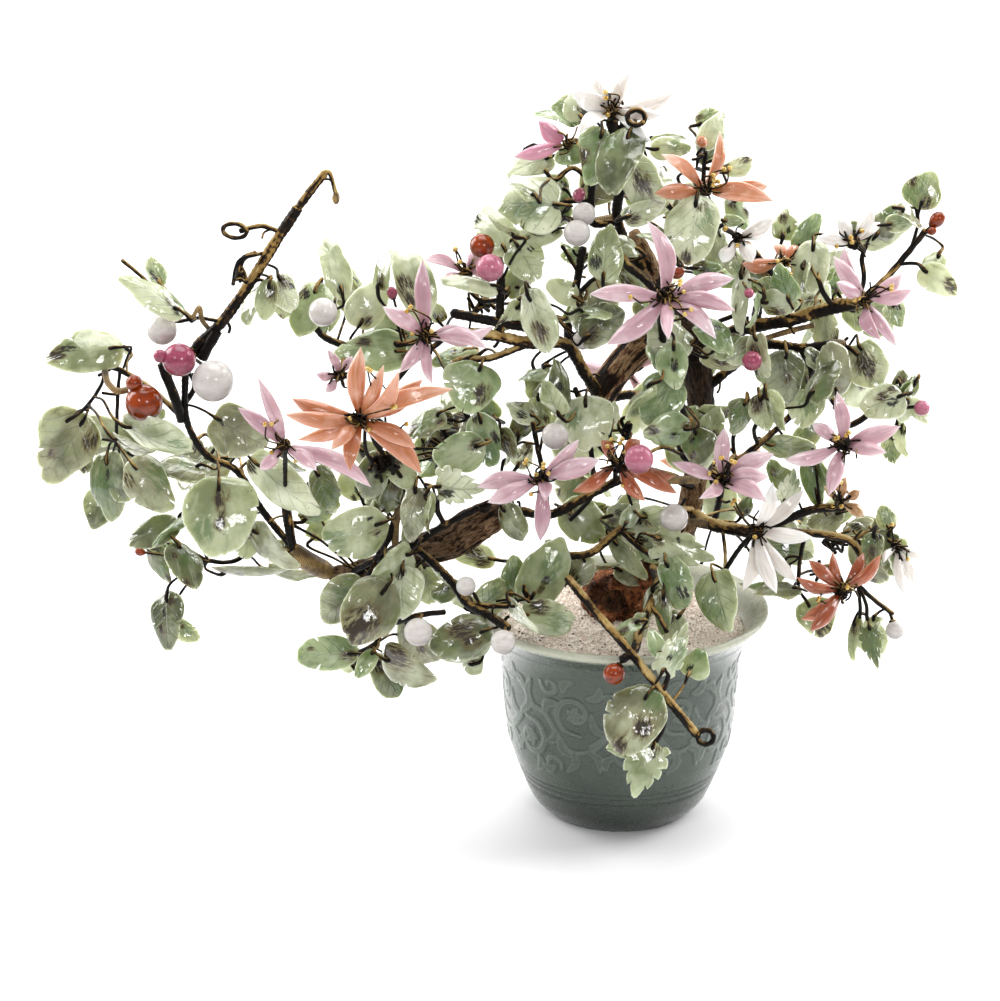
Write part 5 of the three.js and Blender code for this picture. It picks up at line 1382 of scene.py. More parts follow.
# Tones of jade, besides the plain one: [dark, light]
TONES = {
    "pale": ["b5bb9a", "dee2ca"],
    "dark": ["31371f", "646b43"],
    "smoky": ["66644b", "979577"],
    "green": ["637d4c", "a0b083"],
}


class Nodes:
    """Short names for the nodes of one material. A colour is given as a hexadecimal sRGB one."""

    def __init__(self, name):
        self.material = bpy.data.materials.new(name)
        self.material.use_nodes = True
        self.tree = self.material.node_tree
        self.shader = self.tree.nodes["Principled BSDF"]

    def put(self, socket, value):
        if isinstance(value, bpy.types.NodeSocket):
            self.tree.links.new(value, socket)
        else:
            socket.default_value = colour(value) if isinstance(value, str) else value

    def set(self, **values):
        for key, value in values.items():
            self.put(self.shader.inputs[key.replace("_", " ")], value)

    def new(self, kind, output, inputs=None, **settings):
        """An output of a new node; its inputs are given by their number or name."""
        node = self.tree.nodes.new(kind)
        for key, value in settings.items():
            setattr(node, key, value)
        for key, value in (inputs or {}).items():
            self.put(node.inputs[key], value)
        return node.outputs[output]

    def attribute(self, name):
        return self.new("ShaderNodeAttribute", "Vector", attribute_name=name)

    def parts(self, vector):
        outputs = self.new("ShaderNodeSeparateXYZ", 0, {0: vector}).node.outputs
        return outputs[0], outputs[1], outputs[2]

    def join(self, x, y, z):
        return self.new("ShaderNodeCombineXYZ", 0, {0: x, 1: y, 2: z})

    def place(self):
        return self.new("ShaderNodeTexCoord", "Object")

    def facing(self):
        return self.parts(self.new("ShaderNodeNewGeometry", "Normal"))

    def math(self, operation, a, b=0.5, c=0.5):
        return self.new("ShaderNodeMath", 0, {0: a, 1: b, 2: c}, operation=operation)

    def times(self, a, b):
        return self.math("MULTIPLY", a, b)

    def plus(self, a, b):
        return self.math("ADD", a, b)

    def less(self, a, b):
        return self.math("SUBTRACT", a, b)

    def fract(self, a):
        return self.math("FRACT", a)

    def absolute(self, a):
        return self.math("ABSOLUTE", a)

    def scaled(self, vector, factors):
        return self.new("ShaderNodeVectorMath", 0, {0: vector, 1: factors}, operation="MULTIPLY")

    def moved(self, vector, other):
        return self.new("ShaderNodeVectorMath", 0, {0: vector, 1: other}, operation="ADD")

    def noise(self, vector, scale, detail, rough=0.55):
        inputs = {"Vector": vector, "Scale": scale, "Detail": detail, "Roughness": rough}
        return self.new("ShaderNodeTexNoise", "Fac", inputs)

    def cells(self, vector, scale):
        return self.new("ShaderNodeTexVoronoi", "Distance", {"Vector": vector, "Scale": scale})

    def between(self, value, low, high, start=0.0, end=1.0):
        inputs = {0: value, 1: low, 2: high, 3: start, 4: end}
        return self.new("ShaderNodeMapRange", 0, inputs, interpolation_type="SMOOTHSTEP")

    def mix(self, factor, a, b, blend="MIX"):
        return self.new("ShaderNodeMix", 2, {0: factor, 6: a, 7: b}, data_type="RGBA", blend_type=blend)

    def over(self, base, tint, pattern, low, high, most=1.0):
        """A base colour with a tint over it, from none where the pattern is low to the most where high."""
        return self.mix(self.between(pattern, low, high, 0.0, most), base, tint)

    def shade(self, factor, a, b):
        """Colour a darkened by colour b."""
        return self.mix(factor, a, b, "MULTIPLY")

    def bump(self, height, strength, distance):
        inputs = {"Height": height, "Strength": strength, "Distance": distance * METRE}
        return self.new("ShaderNodeBump", 0, inputs)


def colour(text):
    """Linear colour of a hexadecimal sRGB one."""
    parts = [int(text[i : i + 2], 16) / 255 for i in (0, 2, 4)]
    return [*(p / 12.92 if p <= 0.04045 else ((p + 0.055) / 1.055) ** 2.4 for p in parts), 1.0]


def jade():
    n = Nodes("jade")
    along, across, code = n.parts(n.attribute("spot"))
    brown, green, black = n.parts(n.attribute("marks"))
    seed = n.math("FLOOR", code)
    share = n.math("DIVIDE", n.fract(code), 0.9)
    tone = n.math("MODULO", seed, float(len(TONES) + 1))
    place = n.place()
    shift = n.scaled(n.join(seed, seed, seed), (0.0013, 0.0029, 0.0017))
    cloud = n.noise(n.moved(place, shift), 70, 3)
    fine = n.noise(place, 520, 4)
    fan_out = n.math("DIVIDE", across, n.plus(along, 0.6))
    grain_place = n.moved(
        n.join(n.times(fan_out, 2.4), n.times(along, 1.5), 0.0),
        n.scaled(n.join(seed, seed, seed), (0.37, 0.61, 0.23)),
    )
    streak = n.noise(grain_place, 1.2, 4, 0.55)
    ragged = n.noise(grain_place, 3.4, 7, 0.72)
    tint = n.fract(n.times(seed, 0.0731))
    billow = n.between(cloud, 0.34, 0.66)
    base = n.mix(billow, "858d66", "b4ba96")
    base = n.over(base, "86985f", tint, 0.5, 1.0, 0.6)
    for number, (low_tone, high_tone) in enumerate(TONES.values()):
        chosen = n.times(n.math("COMPARE", tone, number + 1.0, 0.3), 0.82)
        base = n.mix(chosen, base, n.mix(billow, low_tone, high_tone))
    frost = n.noise(n.moved(place, n.scaled(shift, (2.0, 1.0, 3.0))), 42, 4, 0.6)
    base = n.over(base, "c3c9ac", frost, 0.5, 0.68, 0.6)
    base = n.over(base, "7c8858", frost, 0.47, 0.32, 0.5)
    base = n.shade(n.between(streak, 0.52, 0.74, 0.0, 0.5), base, "a5aa8c")
    base = n.over(base, "cdd2b5", streak, 0.46, 0.3, 0.3)
    off = n.absolute(across)
    bent = n.plus(along, n.times(cloud, 0.16))
    slant = n.less(bent, n.times(off, 0.32))
    wave = n.absolute(n.less(n.fract(n.times(slant, 5.0)), 0.5))
    vein = n.times(n.between(wave, 0.11, 0.0), n.between(share, 0.97, 0.8))
    rib = n.times(n.between(off, 0.07, 0.0), n.between(along, 0.95, 0.8))
    lines = n.math("MAXIMUM", vein, rib)
    engraved = n.between(n.fract(n.times(seed, 0.0531)), 0.5, 0.75, 0.08, 1.0)
    lines = n.times(lines, n.times(engraved, n.between(ragged, 0.3, 0.6, 0.3, 1.0)))
    base = n.shade(n.times(lines, 0.28), base, "8c9670")
    # Paler rim: the glass thins at the edge, and a painted highlight runs along it, broken in places.
    edge = n.times(n.between(share, 0.9, 1.0), n.between(ragged, 0.42, 0.62, 0.0, 0.55))
    base = n.mix(edge, base, "dde1cb")
    threads = n.between(ragged, 0.36, 0.62, 0.3, 1.7)
    patch = n.times(green, threads)
    base = n.over(base, "567340", patch, 0.2, 1.0, 0.66)
    smoke = n.times(brown, threads)
    base = n.over(base, "6f613b", smoke, 0.12, 0.5, 0.7)
    base = n.over(base, "281b11", smoke, 0.4, 0.85, 0.92)
    dark = n.times(black, threads)
    base = n.over(base, "110e0a", dark, 0.3, 0.7, 0.96)
    specks = n.times(n.between(n.cells(place, 300), 0.2, 0.06), n.between(cloud, 0.42, 0.62))
    base = n.mix(n.times(specks, 0.5), base, "4b4c34")
    n.set(
        Base_Color=base,
        Roughness=n.between(fine, 0.3, 0.8, 0.04, 0.16),
        Subsurface_Weight=0.55,
        Subsurface_Radius=(1.0, 1.0, 0.65),
        Subsurface_Scale=3.2 * METRE,
        Specular_IOR_Level=0.6,
        Coat_Weight=0.6,
        Coat_Roughness=0.03,
    )
    wavy = n.noise(n.moved(place, shift), 125, 2)
    dimples = n.noise(n.moved(place, shift), 420, 2)
    cut = n.less(n.plus(wavy, n.times(dimples, 0.12)), n.times(lines, 0.5))
    n.set(Normal=n.bump(cut, 0.75, 1.1))
    return n.material


def round_place(n, along, around, seed, stretch):
    """A place on a wire for noise, stretched along it, with no seam round it."""
    turn = n.times(around, 2 * math.pi)
    lengthwise = n.plus(n.times(along, stretch), n.times(seed, 3.7))
    return n.join(n.math("COSINE", turn), n.math("SINE", turn), lengthwise)


def dark_wire():
    n = Nodes("dark_wire")
    along, around, seed = n.parts(n.attribute("spot"))
    place = n.place()
    patch = n.noise(place, 55, 3)
    strands = n.noise(round_place(n, along, around, seed, 0.14), 1.1, 4, 0.55)
    facing = n.facing()
    # Painted highlight: faces of the wire that look up, and a little to the right, are pushed towards the
    # gold colours as if lit there; the rest of this pattern is wear and gilding.
    lit = n.plus(n.times(facing[2], 0.22), n.times(facing[0], 0.09))
    grainy = n.noise(place, 480, 3)
    wear_and_painted_highlight = n.plus(n.times(patch, 0.75), lit)
    wear_and_painted_highlight = n.plus(wear_and_painted_highlight, n.times(n.less(strands, 0.5), 0.7))
    wear_and_painted_highlight = n.plus(wear_and_painted_highlight, n.times(n.less(grainy, 0.5), 0.16))
    wear_and_painted_highlight = n.plus(wear_and_painted_highlight, n.between(seed, 2000, 2500, 0.0, 0.11))
    base = n.over("0b0603", "3b2612", wear_and_painted_highlight, 0.44, 0.54, 0.75)
    base = n.over(base, "9c7c44", wear_and_painted_highlight, 0.52, 0.6, 0.92)
    base = n.over(base, "cbb27a", wear_and_painted_highlight, 0.64, 0.74, 0.75)
    turns = n.math("SINE", n.times(n.plus(n.math("DIVIDE", along, 1.5), around), 2 * math.pi))
    n.set(Base_Color=base, Roughness=n.between(patch, 0.3, 0.7, 0.36, 0.56), Specular_IOR_Level=0.14)
    n.set(Normal=n.bump(n.plus(n.times(turns, 0.4), n.times(strands, 2.5)), 0.45, 0.25))
    return n.material


def bound_thread():
    n = Nodes("bound_thread")
    along, around, _ = n.parts(n.attribute("spot"))
    place = n.place()
    patch = n.noise(place, 130, 4)
    turns = n.math("SINE", n.times(n.plus(n.math("DIVIDE", along, 0.9), around), 2 * math.pi))
    base = n.over("5f4420", "ad8c50", patch, 0.35, 0.65)
    base = n.over(base, "24160b", turns, -0.2, -0.9, 0.75)
    base = n.over(base, "160f09", n.noise(place, 60, 2), 0.53, 0.66, 0.85)
    n.set(Base_Color=base, Roughness=0.42, Coat_Weight=0.2, Coat_Roughness=0.25)
    n.set(Normal=n.bump(turns, 0.5, 0.3))
    return n.material


def gold():
    n = Nodes("gold_seed")
    patch = n.noise(n.place(), 500, 3)
    base = n.over("a9802f", "dcc07a", patch, 0.35, 0.65)
    n.set(Base_Color=base, Metallic=0.75, Roughness=n.between(patch, 0.3, 0.7, 0.2, 0.38))
    return n.material


def petal_glass(name, foot, body, tip, streak):
    n = Nodes(name)
    along, across, seed = n.parts(n.attribute("spot"))
    seeds = n.scaled(n.join(seed, seed, seed), (1.7, 2.3, 0.9))
    lines = n.noise(n.moved(n.join(n.times(along, 1.6), n.times(across, 2.6), 0.0), seeds), 1.3, 4)
    cloud = n.noise(n.moved(n.place(), n.scaled(seeds, (0.01, 0.01, 0.01))), 110, 3)
    base = n.over(foot, body, along, 0.0, 0.4)
    base = n.over(base, tip, along, 0.6, 1.0, 0.8)
    base = n.over(base, streak, lines, 0.44, 0.66, 0.75)
    base = n.over(base, tip, cloud, 0.5, 0.72, 0.45)
    deeper = n.fract(n.times(seed, 0.137))
    base = n.over(base, foot, deeper, 0.45, 1.0, 0.6)
    edge = n.between(n.absolute(across), 0.75, 1.0)
    base = n.mix(n.times(edge, 0.35), base, tip)
    n.set(
        Base_Color=base,
        Roughness=n.between(cloud, 0.3, 0.7, 0.06, 0.16),
        Subsurface_Weight=0.5,
        Subsurface_Radius=(1.0, 0.75, 0.7),
        Subsurface_Scale=2.8 * METRE,
        Coat_Weight=0.5,
        Coat_Roughness=0.04,
    )
    n.set(Normal=n.bump(n.plus(lines, cloud), 0.5, 0.9))
    return n.material


def bead_glass(name, body, deep, streak, contrast, subsurface):
    n = Nodes(name)
    place = n.attribute("spot")
    seed = n.parts(n.attribute("marks"))[2]
    moved = n.moved(n.scaled(place, (1.0, 1.0, 2.2)), n.join(seed, n.times(seed, 1.7), 0.0))
    swirl = n.noise(moved, 1.4, 4, 0.6)
    veins = n.absolute(n.less(n.noise(moved, 2.1, 3), 0.5))
    base = n.over(body, deep, swirl, 0.38, 0.66)
    base = n.over(base, streak, veins, 0.045, 0.0, contrast)
    # Painted shade: the underside of each ball is darkened, as if lit from above.
    facing = n.facing()
    base = n.shade(n.between(facing[2], 0.4, -0.9), base, "c0bcbe")
    n.set(
        Base_Color=base,
        Roughness=n.between(swirl, 0.3, 0.7, 0.16, 0.26),
        Specular_IOR_Level=0.38,
        Subsurface_Weight=subsurface,
        Subsurface_Radius=(1.0, 0.7, 0.6),
        Subsurface_Scale=3.0 * METRE,
        Coat_Weight=0.25,
        Coat_Roughness=0.06,
    )
    n.set(Normal=n.bump(swirl, 0.1, 0.3))
    return n.material


def wood():
    n = Nodes("bark_wood")
    relief, cut, tone = n.parts(n.attribute("marks"))
    run = n.attribute("spot")
    fibres = n.noise(run, 0.75, 6, 0.7)
    dashes = n.noise(n.scaled(run, (1.0, 1.0, 1.9)), 0.85, 4, 0.65)
    broad = n.noise(run, 0.16, 3)
    fine = n.noise(n.place(), 1100, 3)
    dark = n.mix(tone, "060302", "2b1810")
    mid = n.mix(tone, "0c0603", "966848")
    light = n.mix(tone, "5a4533", "d0aa80")
    base = n.over(dark, mid, fibres, 0.36, 0.6)
    base = n.over(base, mid, broad, 0.5, 0.68, 0.45)
    net = n.absolute(n.less(n.noise(n.scaled(run, (1.0, 1.0, 1.3)), 0.42, 3, 0.6), 0.5))
    threads = n.times(n.between(net, 0.07, 0.02), n.between(tone, 0.05, 0.2, 0.3, 1.0))
    base = n.mix(n.times(threads, n.between(relief, 0.55, 0.95, 0.3, 1.0)), base, light)
    # Tan crests of the ridges, lighter also as a painted highlight on the raised bark.
    crest = n.between(n.plus(relief, n.times(dashes, 0.5)), 1.25, 1.55, 0.0, 0.75)
    base = n.mix(n.times(crest, n.between(tone, 0.05, 0.2, 0.35, 1.0)), base, light)
    base = n.over(base, "0e0805", dashes, 0.44, 0.36, 0.9)
    # Dark bark in the furrows and cracks, where the relief is low, deepened to near black as painted shade.
    base = n.over(base, "090503", relief, 0.8, 0.5, 0.92)
    crumbs = n.noise(n.place(), 330, 6, 0.74)
    crumb_look = n.over("2a150b", "a96842", crumbs, 0.4, 0.53)
    crumb_look = n.over(crumb_look, "e0b58d", crumbs, 0.56, 0.68, 0.9)
    crumb_look = n.over(crumb_look, "2b170d", n.noise(n.place(), 75, 3, 0.6), 0.5, 0.36, 0.8)
    base = n.over(base, crumb_look, cut, 1.5, 2.0)
    gold_cut = n.over("5a3616", "c29a55", fibres, 0.38, 0.6)
    base = n.over(base, gold_cut, cut, 0.0, -1.0)
    pit = n.over("1a0e09", "5c3522", dashes, 0.4, 0.62)
    pitted = n.times(n.between(cut, 0.0, 1.0, 0.0, 0.85), n.between(cut, 1.5, 1.2))
    base = n.mix(pitted, base, pit)
    n.set(Base_Color=base, Roughness=n.between(fine, 0.3, 0.7, 0.5, 0.8), Specular_IOR_Level=0.16)
    height = n.plus(fibres, n.plus(n.times(threads, 0.4), n.times(fine, 0.2)))
    height = n.plus(height, n.times(n.between(cut, 1.5, 2.0), n.times(crumbs, 2.0)))
    n.set(Normal=n.bump(height, 1.0, 1.5))
    return n.material


def celadon():
    n = Nodes("celadon_glaze")
    raised, lip, _ = n.parts(n.attribute("marks"))
    place = n.place()
    height = n.parts(place)[2]
    cloud = n.noise(place, 22, 3)
    fine = n.noise(place, 300, 3)
    base = n.over("2e3a30", "384539", cloud, 0.35, 0.65)
    base = n.over(base, "627265", raised, 0.5, 0.95, 0.6)
    pooled = n.times(n.between(raised, 0.0, 0.12), n.between(raised, 0.45, 0.2))
    base = n.mix(n.times(pooled, 0.65), base, "1c251e")
    # Paler lip and inside: glaze that thins at the lip, with a painted highlight on the lip and painted light
    # on the inside wall.
    base = n.over(base, "bcbda9", lip, 0.0, 1.0, 0.95)
    # Painted shade: the glaze is darkened towards the foot, below 45 mm.
    base = n.over(base, "111712", height, 0.045, 0.0, 0.85)
    n.set(
        Base_Color=base,
        Roughness=n.between(fine, 0.3, 0.7, 0.24, 0.34),
        Coat_Weight=0.35,
        Coat_Roughness=0.12,
    )
    n.set(Normal=n.bump(n.plus(cloud, n.times(fine, 0.05)), 0.12, 0.8))
    return n.material


def chips():
    n = Nodes("stone_chips")
    shade, dark, _ = n.parts(n.attribute("marks"))
    fine = n.noise(n.place(), 1500, 3)
    base = n.mix(shade, "d7c7b4", "faf4eb")
    base = n.over(base, "cf9d86", shade, 0.8, 0.84, 0.4)
    base = n.mix(dark, base, "62463b")
    base = n.over(base, "9a8372", fine, 0.56, 0.76, 0.35)
    n.set(Base_Color=base, Roughness=n.between(fine, 0.3, 0.7, 0.75, 0.95))
    n.set(Normal=n.bump(fine, 0.3, 0.15))
    return n.material


def floor_paint():
    n = Nodes("pale_floor")
    n.set(
        Base_Color=n.mix(n.noise(n.place(), 3, 2), "f4f4f4", "f8f8f8"),
        Roughness=0.6,
    )
    return n.material


JADE = jade()
WIRE = dark_wire()
THREAD = bound_thread()
GOLD = gold()
WOOD = wood()
CELADON = celadon()
CHIPS = chips()
# Glass of the petals, from foot to tip, with streaks: [foot, body, tip, streak]
PETAL_TINTS = {
    "lilac": ["a97f8c", "cba8b1", "ecdcdf", "b8929c"],
    "coral": ["ab602f", "ca8c6c", "e6c3b0", "bb763f"],
    "rust": ["7d3417", "ab5a33", "cf9270", "8c431f"],
    "white": ["c9c2b9", "e9e5df", "f6f4f1", "d3ccc4"],
    "magenta": ["b4748a", "cf95a8", "e8c4cf", "bf8094"],
    "orange": ["8d6a3c", "b38a5c", "d9c19a", "8f6434"],
}
# Glass of the beads: [body, deep, streak, share of the streaks, light that passes under the surface]
BALL_TINTS = {
    "white": ["d8d3ce", "cbc4be", "e0dcd8", 0.1, 0.3],
    "magenta": ["a44a62", "84364c", "b8687e", 0.14, 0.15],
    "rose": ["bd7287", "a85a70", "cf93a3", 0.14, 0.2],
    "orange": ["963600", "6a2000", "a85212", 0.16, 0.1],
    "dusky": ["8f6455", "6b4338", "b08a78", 0.4, 0.2],
    "red": ["7c1a20", "4d0e12", "a0403f", 0.3, 0.2],
}
PETALS = {name: petal_glass(name + "_petal", *tints) for name, tints in PETAL_TINTS.items()}
BALLS = {name: bead_glass(name + "_bead", *tints) for name, tints in BALL_TINTS.items()}


# Building

BUD_TINTS = ["white", "magenta", "coral", "orange", "dusky", "red"]
BUD_LOOKS = [PETALS["coral"] if tint == "coral" else BALLS[tint] for tint in BUD_TINTS]
BRANCH_LOOKS = [WIRE, THREAD, GOLD, *BUD_LOOKS]
BUD_SLOT = 3  # the first of the buds' materials
GILT_SEED = 3000  # a wire whose seed is above this has more gold
CLOSE = 3  # leaves less than this apart on the drawing have one tone
STEM_GIRTH = 1.12  # of a stem wound with its thread, in parts of its bare radius
BLOOM_WIRE, BEAD_WIRE, LINK_WIRE, BUD_WIRE = 1.25, 0.95, 0.85, 0.7  # radii
BLOOM_RISE, BEAD_RISE = 0.06, 0.08  # of the wires to them, in parts of their length
TONE_CHANCES = [0.5, 0.14, 0.1, 0.13, 0.13]  # plain first, then as in TONES

# Inclusions that an unmarked leaf may have: kind, chance, ends of its place along and across the leaf in
# parts of the length and the width, and ends of its size
LOOSE_INCLUSIONS = [
    [BROWN, 0.6, (-0.45, -0.2), (-0.3, 0.3), (1.5, 3.2)],
    [GREEN, 0.35, (-0.3, 0.4), (-0.3, 0.3), (4, 8)],
    [BLACK, 0.4, (-0.4, 0.0), (-0.3, 0.3), (1.2, 2.6)],
    [BROWN, 0.3, (0.0, 0.45), (-0.4, 0.4), (1.2, 3.0)],
]


def words_of(row):
    return [item for item in row[8:] if isinstance(item, str)]


def inclusions_of(row, leaf_box):
    """Inclusions of a leaf, each [kind, place along it, place across it, size], from its middle."""
    _, axis, _, side, length, width = leaf_box
    u, v = row[:2]
    across = np.array([[axis @ RIGHT, side @ RIGHT], [axis @ UP, side @ UP]])
    found = []
    for spot_u, spot_v, kind, size in [item for item in row[8:] if isinstance(item, list)]:
        arm = (spot_u - u) * PIXEL * RIGHT - (spot_v - v) * PIXEL * UP
        s, y = np.linalg.solve(across, [arm @ RIGHT, arm @ UP])
        s = np.clip(s, -0.5 * length, 0.5 * length)
        y = np.clip(y, -0.5 * width, 0.5 * width)
        found.append([kind, s, y, size * PIXEL * 1.1])
    if found:
        return found
    rng = random("inclusions", u, v)
    for kind, chance, along, aside, sizes in LOOSE_INCLUSIONS:
        if rng.uniform() < chance:
            s, y = rng.uniform(*along) * length, rng.uniform(*aside) * width
            found.append([kind, s, y, rng.uniform(*sizes)])
    return found


def edge_of(row):
    return next((word for word in words_of(row) if word not in TONES), "plain")


# Places of the leaves that have a tone of their own, with its number
TONED = [
    [row[0], row[1], list(TONES).index(word) + 1]
    for table in BRANCHES.values()
    for row in table["leaves"]
    for word in words_of(row)
    if word in TONES
]


def tone_of(u, v):
    """Number of a leaf's own tone, of the toned leaf that it covers, or a drawn one."""
    for other_u, other_v, tone in TONED:
        if abs(other_u - u) < CLOSE and abs(other_v - v) < CLOSE:
            return tone
    return int(random("tone", u, v).choice(len(TONE_CHANCES), p=TONE_CHANCES))


def behind(entry):
    """A smaller leaf that hangs behind another one and shows beside it."""
    u, v, layer, direction, length, _, tilt, _ = entry[:8]
    rng = random("behind", u, v)
    way = rng.uniform(0, 2 * math.pi)
    away = rng.uniform(0.3, 0.5) * length / PIXEL
    size = rng.uniform(15, 20)
    place = [u + away * math.cos(way), v + 0.8 * away * math.sin(way), layer - rng.uniform(5, 9)]
    heading = direction + rng.uniform(-80, 80)
    return [*place, heading, size, size * rng.uniform(0.6, 0.85), tilt, rng.uniform(-40, 40)]


def sidelong(entry):
    """A leaf beside another one that turns its face to the side."""
    u, v, layer, direction, length = entry[:5]
    rng = random("sidelong", u, v)
    way = rng.uniform(0, 2 * math.pi)
    away = rng.uniform(0.25, 0.45) * length / PIXEL
    depth = np.clip(layer + rng.choice([-1, 1]) * rng.uniform(6, 12), -70, 60)
    size = rng.uniform(18, 25)
    place = [u + away * math.cos(way), v + 0.7 * away * math.sin(way), depth]
    turn = rng.choice([-1, 1]) * rng.uniform(60, 86)
    heading = direction + rng.uniform(-50, 50)
    return [*place, heading, size, size * rng.uniform(0.66, 0.85), rng.uniform(-30, 30), turn]


def nearest(spots, target):
    return spots[np.linalg.norm(spots - target, axis=1).argmin()]


def arched(start, target, rise, away, step):
    """A path whose middle stands above the straight line by a share of the distance."""
    return curve([start, (start + target) / 2 + UP * rise * away, target], step)


def stem_paths(stems):
    return [curve([at(p) for p in points], 1.0 if radius > STOUT else 1.25) for radius, *points in stems]


def free_spots(paths):
    """Points of the stems, without their ends, that other wires may start from."""
    return np.vstack([path[2:-2] for path in paths])


STEMS = {name: stem_paths(table["stems"]) for name, table in BRANCHES.items()}
STEM_SPOTS = np.vstack([path for paths in STEMS.values() for path in paths])


def link(piece, targets, reach):
    """A wire from the nearest stem of any branch to a thing that would hang free."""
    gaps = [np.linalg.norm(STEM_SPOTS - target, axis=1).min() for target in targets]
    target = targets[int(np.argmin(gaps))]
    away = min(gaps)
    if away > reach:
        path = arched(nearest(STEM_SPOTS, target), target, BLOOM_RISE, away, 1.2)
        tube(piece, path, LINK_WIRE, FINE, DARK_SLOT, away)


def carrier(piece, spots, target, rise, radius, seed):
    """The wire from a branch to a bloom or bead that it carries."""
    start = nearest(spots, target)
    path = arched(start, target, rise, np.linalg.norm(target - start), 1.1)
    wire(piece, path, radius, DARK_SLOT, seed)


def bare_twigs(piece, spots, seed, count):
    """Short crooked wire ends that carry nothing."""
    rng = random("twigs", seed)
    for number in range(count):
        start = spots[rng.integers(0, len(spots))]
        way = unit(rng.normal(size=3) + UP * 0.3)
        bend = unit(rng.normal(size=3))
        size = rng.uniform(5, 10)
        path = curve([start, start + way * size * 0.6 + bend * 1.2, start + way * size - bend * 0.8], 1.2)
        tube(piece, path, rng.uniform(0.55, 0.85), FINE, DARK_SLOT, number, 0.8)


def tangle(piece, centre, reach, count, seed):
    """Loose ends of wire twisted into a knot."""
    rng = random("tangle", seed)
    for number in range(count):
        knots = [centre + unit(rng.normal(size=3)) * reach * rng.uniform(0.5, 1.0) for _ in range(3)]
        knots.insert(1, centre + rng.normal(size=3) * 0.2 * reach)
        tube(piece, curve(knots, 1.0), rng.uniform(0.7, 1.15), FINE, DARK_SLOT, seed + number, 0.6)


def bud(piece, spots, u, v, layer, radius, tint):
    """A small bead on its wire, with a cap; a wire bud is the wire alone."""
    target = at([u, v, layer])
    start = nearest(spots, target)
    path = curve([start, start * 0.45 + target * 0.55 + TO_EYE * 1.0, target], 1.2)
    tube(piece, path, BUD_WIRE, FINE, DARK_SLOT, u)
    if tint == "wire":
        return
    axis = unit(target - start)
    slot = BUD_SLOT + BUD_TINTS.index(tint)
    globe(piece, target, [radius * 0.85, radius * 1.1], axis, slot, u, 18, 10, 0.12)
    cap = target - axis * radius * 0.8
    globe(piece, cap, [radius * 0.55, radius * 0.4], axis, DARK_SLOT, u, 10, 6, 0.2)


def binding(piece, radius, points):
    """Gold thread wound thickly round a stem."""
    path = curve([at(p) for p in points], 0.5)
    link(piece, path, radius + 0.5)
    share = np.linspace(0, 1, len(path))
    swell = 1 - 0.25 * (2 * share - 1) ** 4
    turns = np.sin(np.arange(len(path)) * 2.6)
    tube(piece, path, radius * swell * (1 + 0.04 * turns), 14, THREAD_SLOT, radius, 0.2)


def branch(name, table):
    """The leaves of a branch as one piece and its wires as another."""
    spots = free_spots(STEMS[name])
    blades = Piece()
    wires = Piece()
    for number, ((radius, *_), path) in enumerate(zip(table["stems"], STEMS[name])):
        seed = number + 0.5 + (GILT_SEED if number in table.get("gilt", []) else 0)
        end = table.get("thin_ends", {}).get(number, 1.0)
        wire(wires, path, radius * STEM_GIRTH, DARK_SLOT, seed, end)
    rows = table["leaves"]
    companions = [behind(row) for row in rows[::2]] + [sidelong(row) for row in rows[1::3]]
    for index, row in enumerate(rows + companions):
        leaf_box = leaf_frame(row[:8], index)
        base, axis = leaf_box[:2]
        seed = row[0] + 0.37 * row[1]
        leaf(blades, leaf_box, edge_of(row), seed, inclusions_of(row, leaf_box), tone_of(*row[:2]))
        hook(wires, nearest(spots, base - axis * 4), leaf_box, seed)
    bare_twigs(wires, spots, len(spots), max(3, len(rows) // 2))
    for u, v, layer, across, along in table.get("drops", []):
        globe(wires, at([u, v, layer]), [across, along], UP, THREAD_SLOT, u, 14, 10, 0.2)
    for row in table.get("buds", []):
        bud(wires, spots, *row)
    for entry in BLOOMS.values():
        if entry["branch"] == name:
            carrier(wires, spots, at(entry["core"]), BLOOM_RISE, BLOOM_WIRE, entry["core"][0])
    for _, carried_by, ball, *_ in BEADS.values():
        if carried_by == name:
            carrier(wires, spots, at(ball[:3]), BEAD_RISE, BEAD_WIRE, ball[0])
    for radius, *points in table.get("bindings", []):
        binding(wires, radius, points)
    for radius, slot, *points in table.get("wires", []):
        path = curve([at(p) for p in points], 0.8)
        link(wires, path, radius + 1.0)
        wire(wires, path, radius, slot, radius + points[0][0])
    for number, (u, v, layer, reach, count) in enumerate(table.get("tangles", [])):
        tangle(wires, at([u, v, layer]), reach, count, number + u)
        link(wires, [at([u, v, layer])], 1.0)
    for u, v, layer, across, along, tilt, radius, turns in table.get("loops", []):
        coil(wires, at([u, v, layer]), [across * PIXEL, along * PIXEL], tilt, radius, turns)
    blades.build(name + "_leaves", [JADE], [name])
    wires.build(name + "_wires", BRANCH_LOOKS, [name])


def bloom(name, entry):
    """Petals of glass round a knot of wire, with stamens, some of which end in a gold seed."""
    piece = Piece()
    u, v, layer = entry["core"]
    centre = at(entry["core"])
    for row in entry["petals"]:
        seed = row[0] + 0.31 * row[1]
        petal(piece, centre, layer, row, seed)
        claw(piece, centre, layer, row, seed)
    rng = random("bloom", u, v, layer)
    large = len(entry["petals"]) > 5
    outward = -TO_EYE if layer < -50 else TO_EYE
    targets = [at([*place, layer + rng.uniform(6, 10)]) for place in entry.get("seeds", [])]
    for target in targets[:2]:
        targets.append(target + rng.normal(size=3) * 1.6)
    gilt = len(targets) + 2
    for _ in range(gilt, gilt + (11 if large else 6)):
        way = unit(rng.normal(size=3) + outward * 0.7)
        targets.append(centre + way * rng.uniform(5.5, 10.5))
    for number, target in enumerate(targets):
        stamen(piece, centre, target, u + number, number < gilt)
    knot(piece, centre, 4.2 if large else 3.2, u)
    look = PETALS[entry.get("look", entry["colour"])]
    piece.build(name + "_look", [look, WIRE, GOLD], [name])


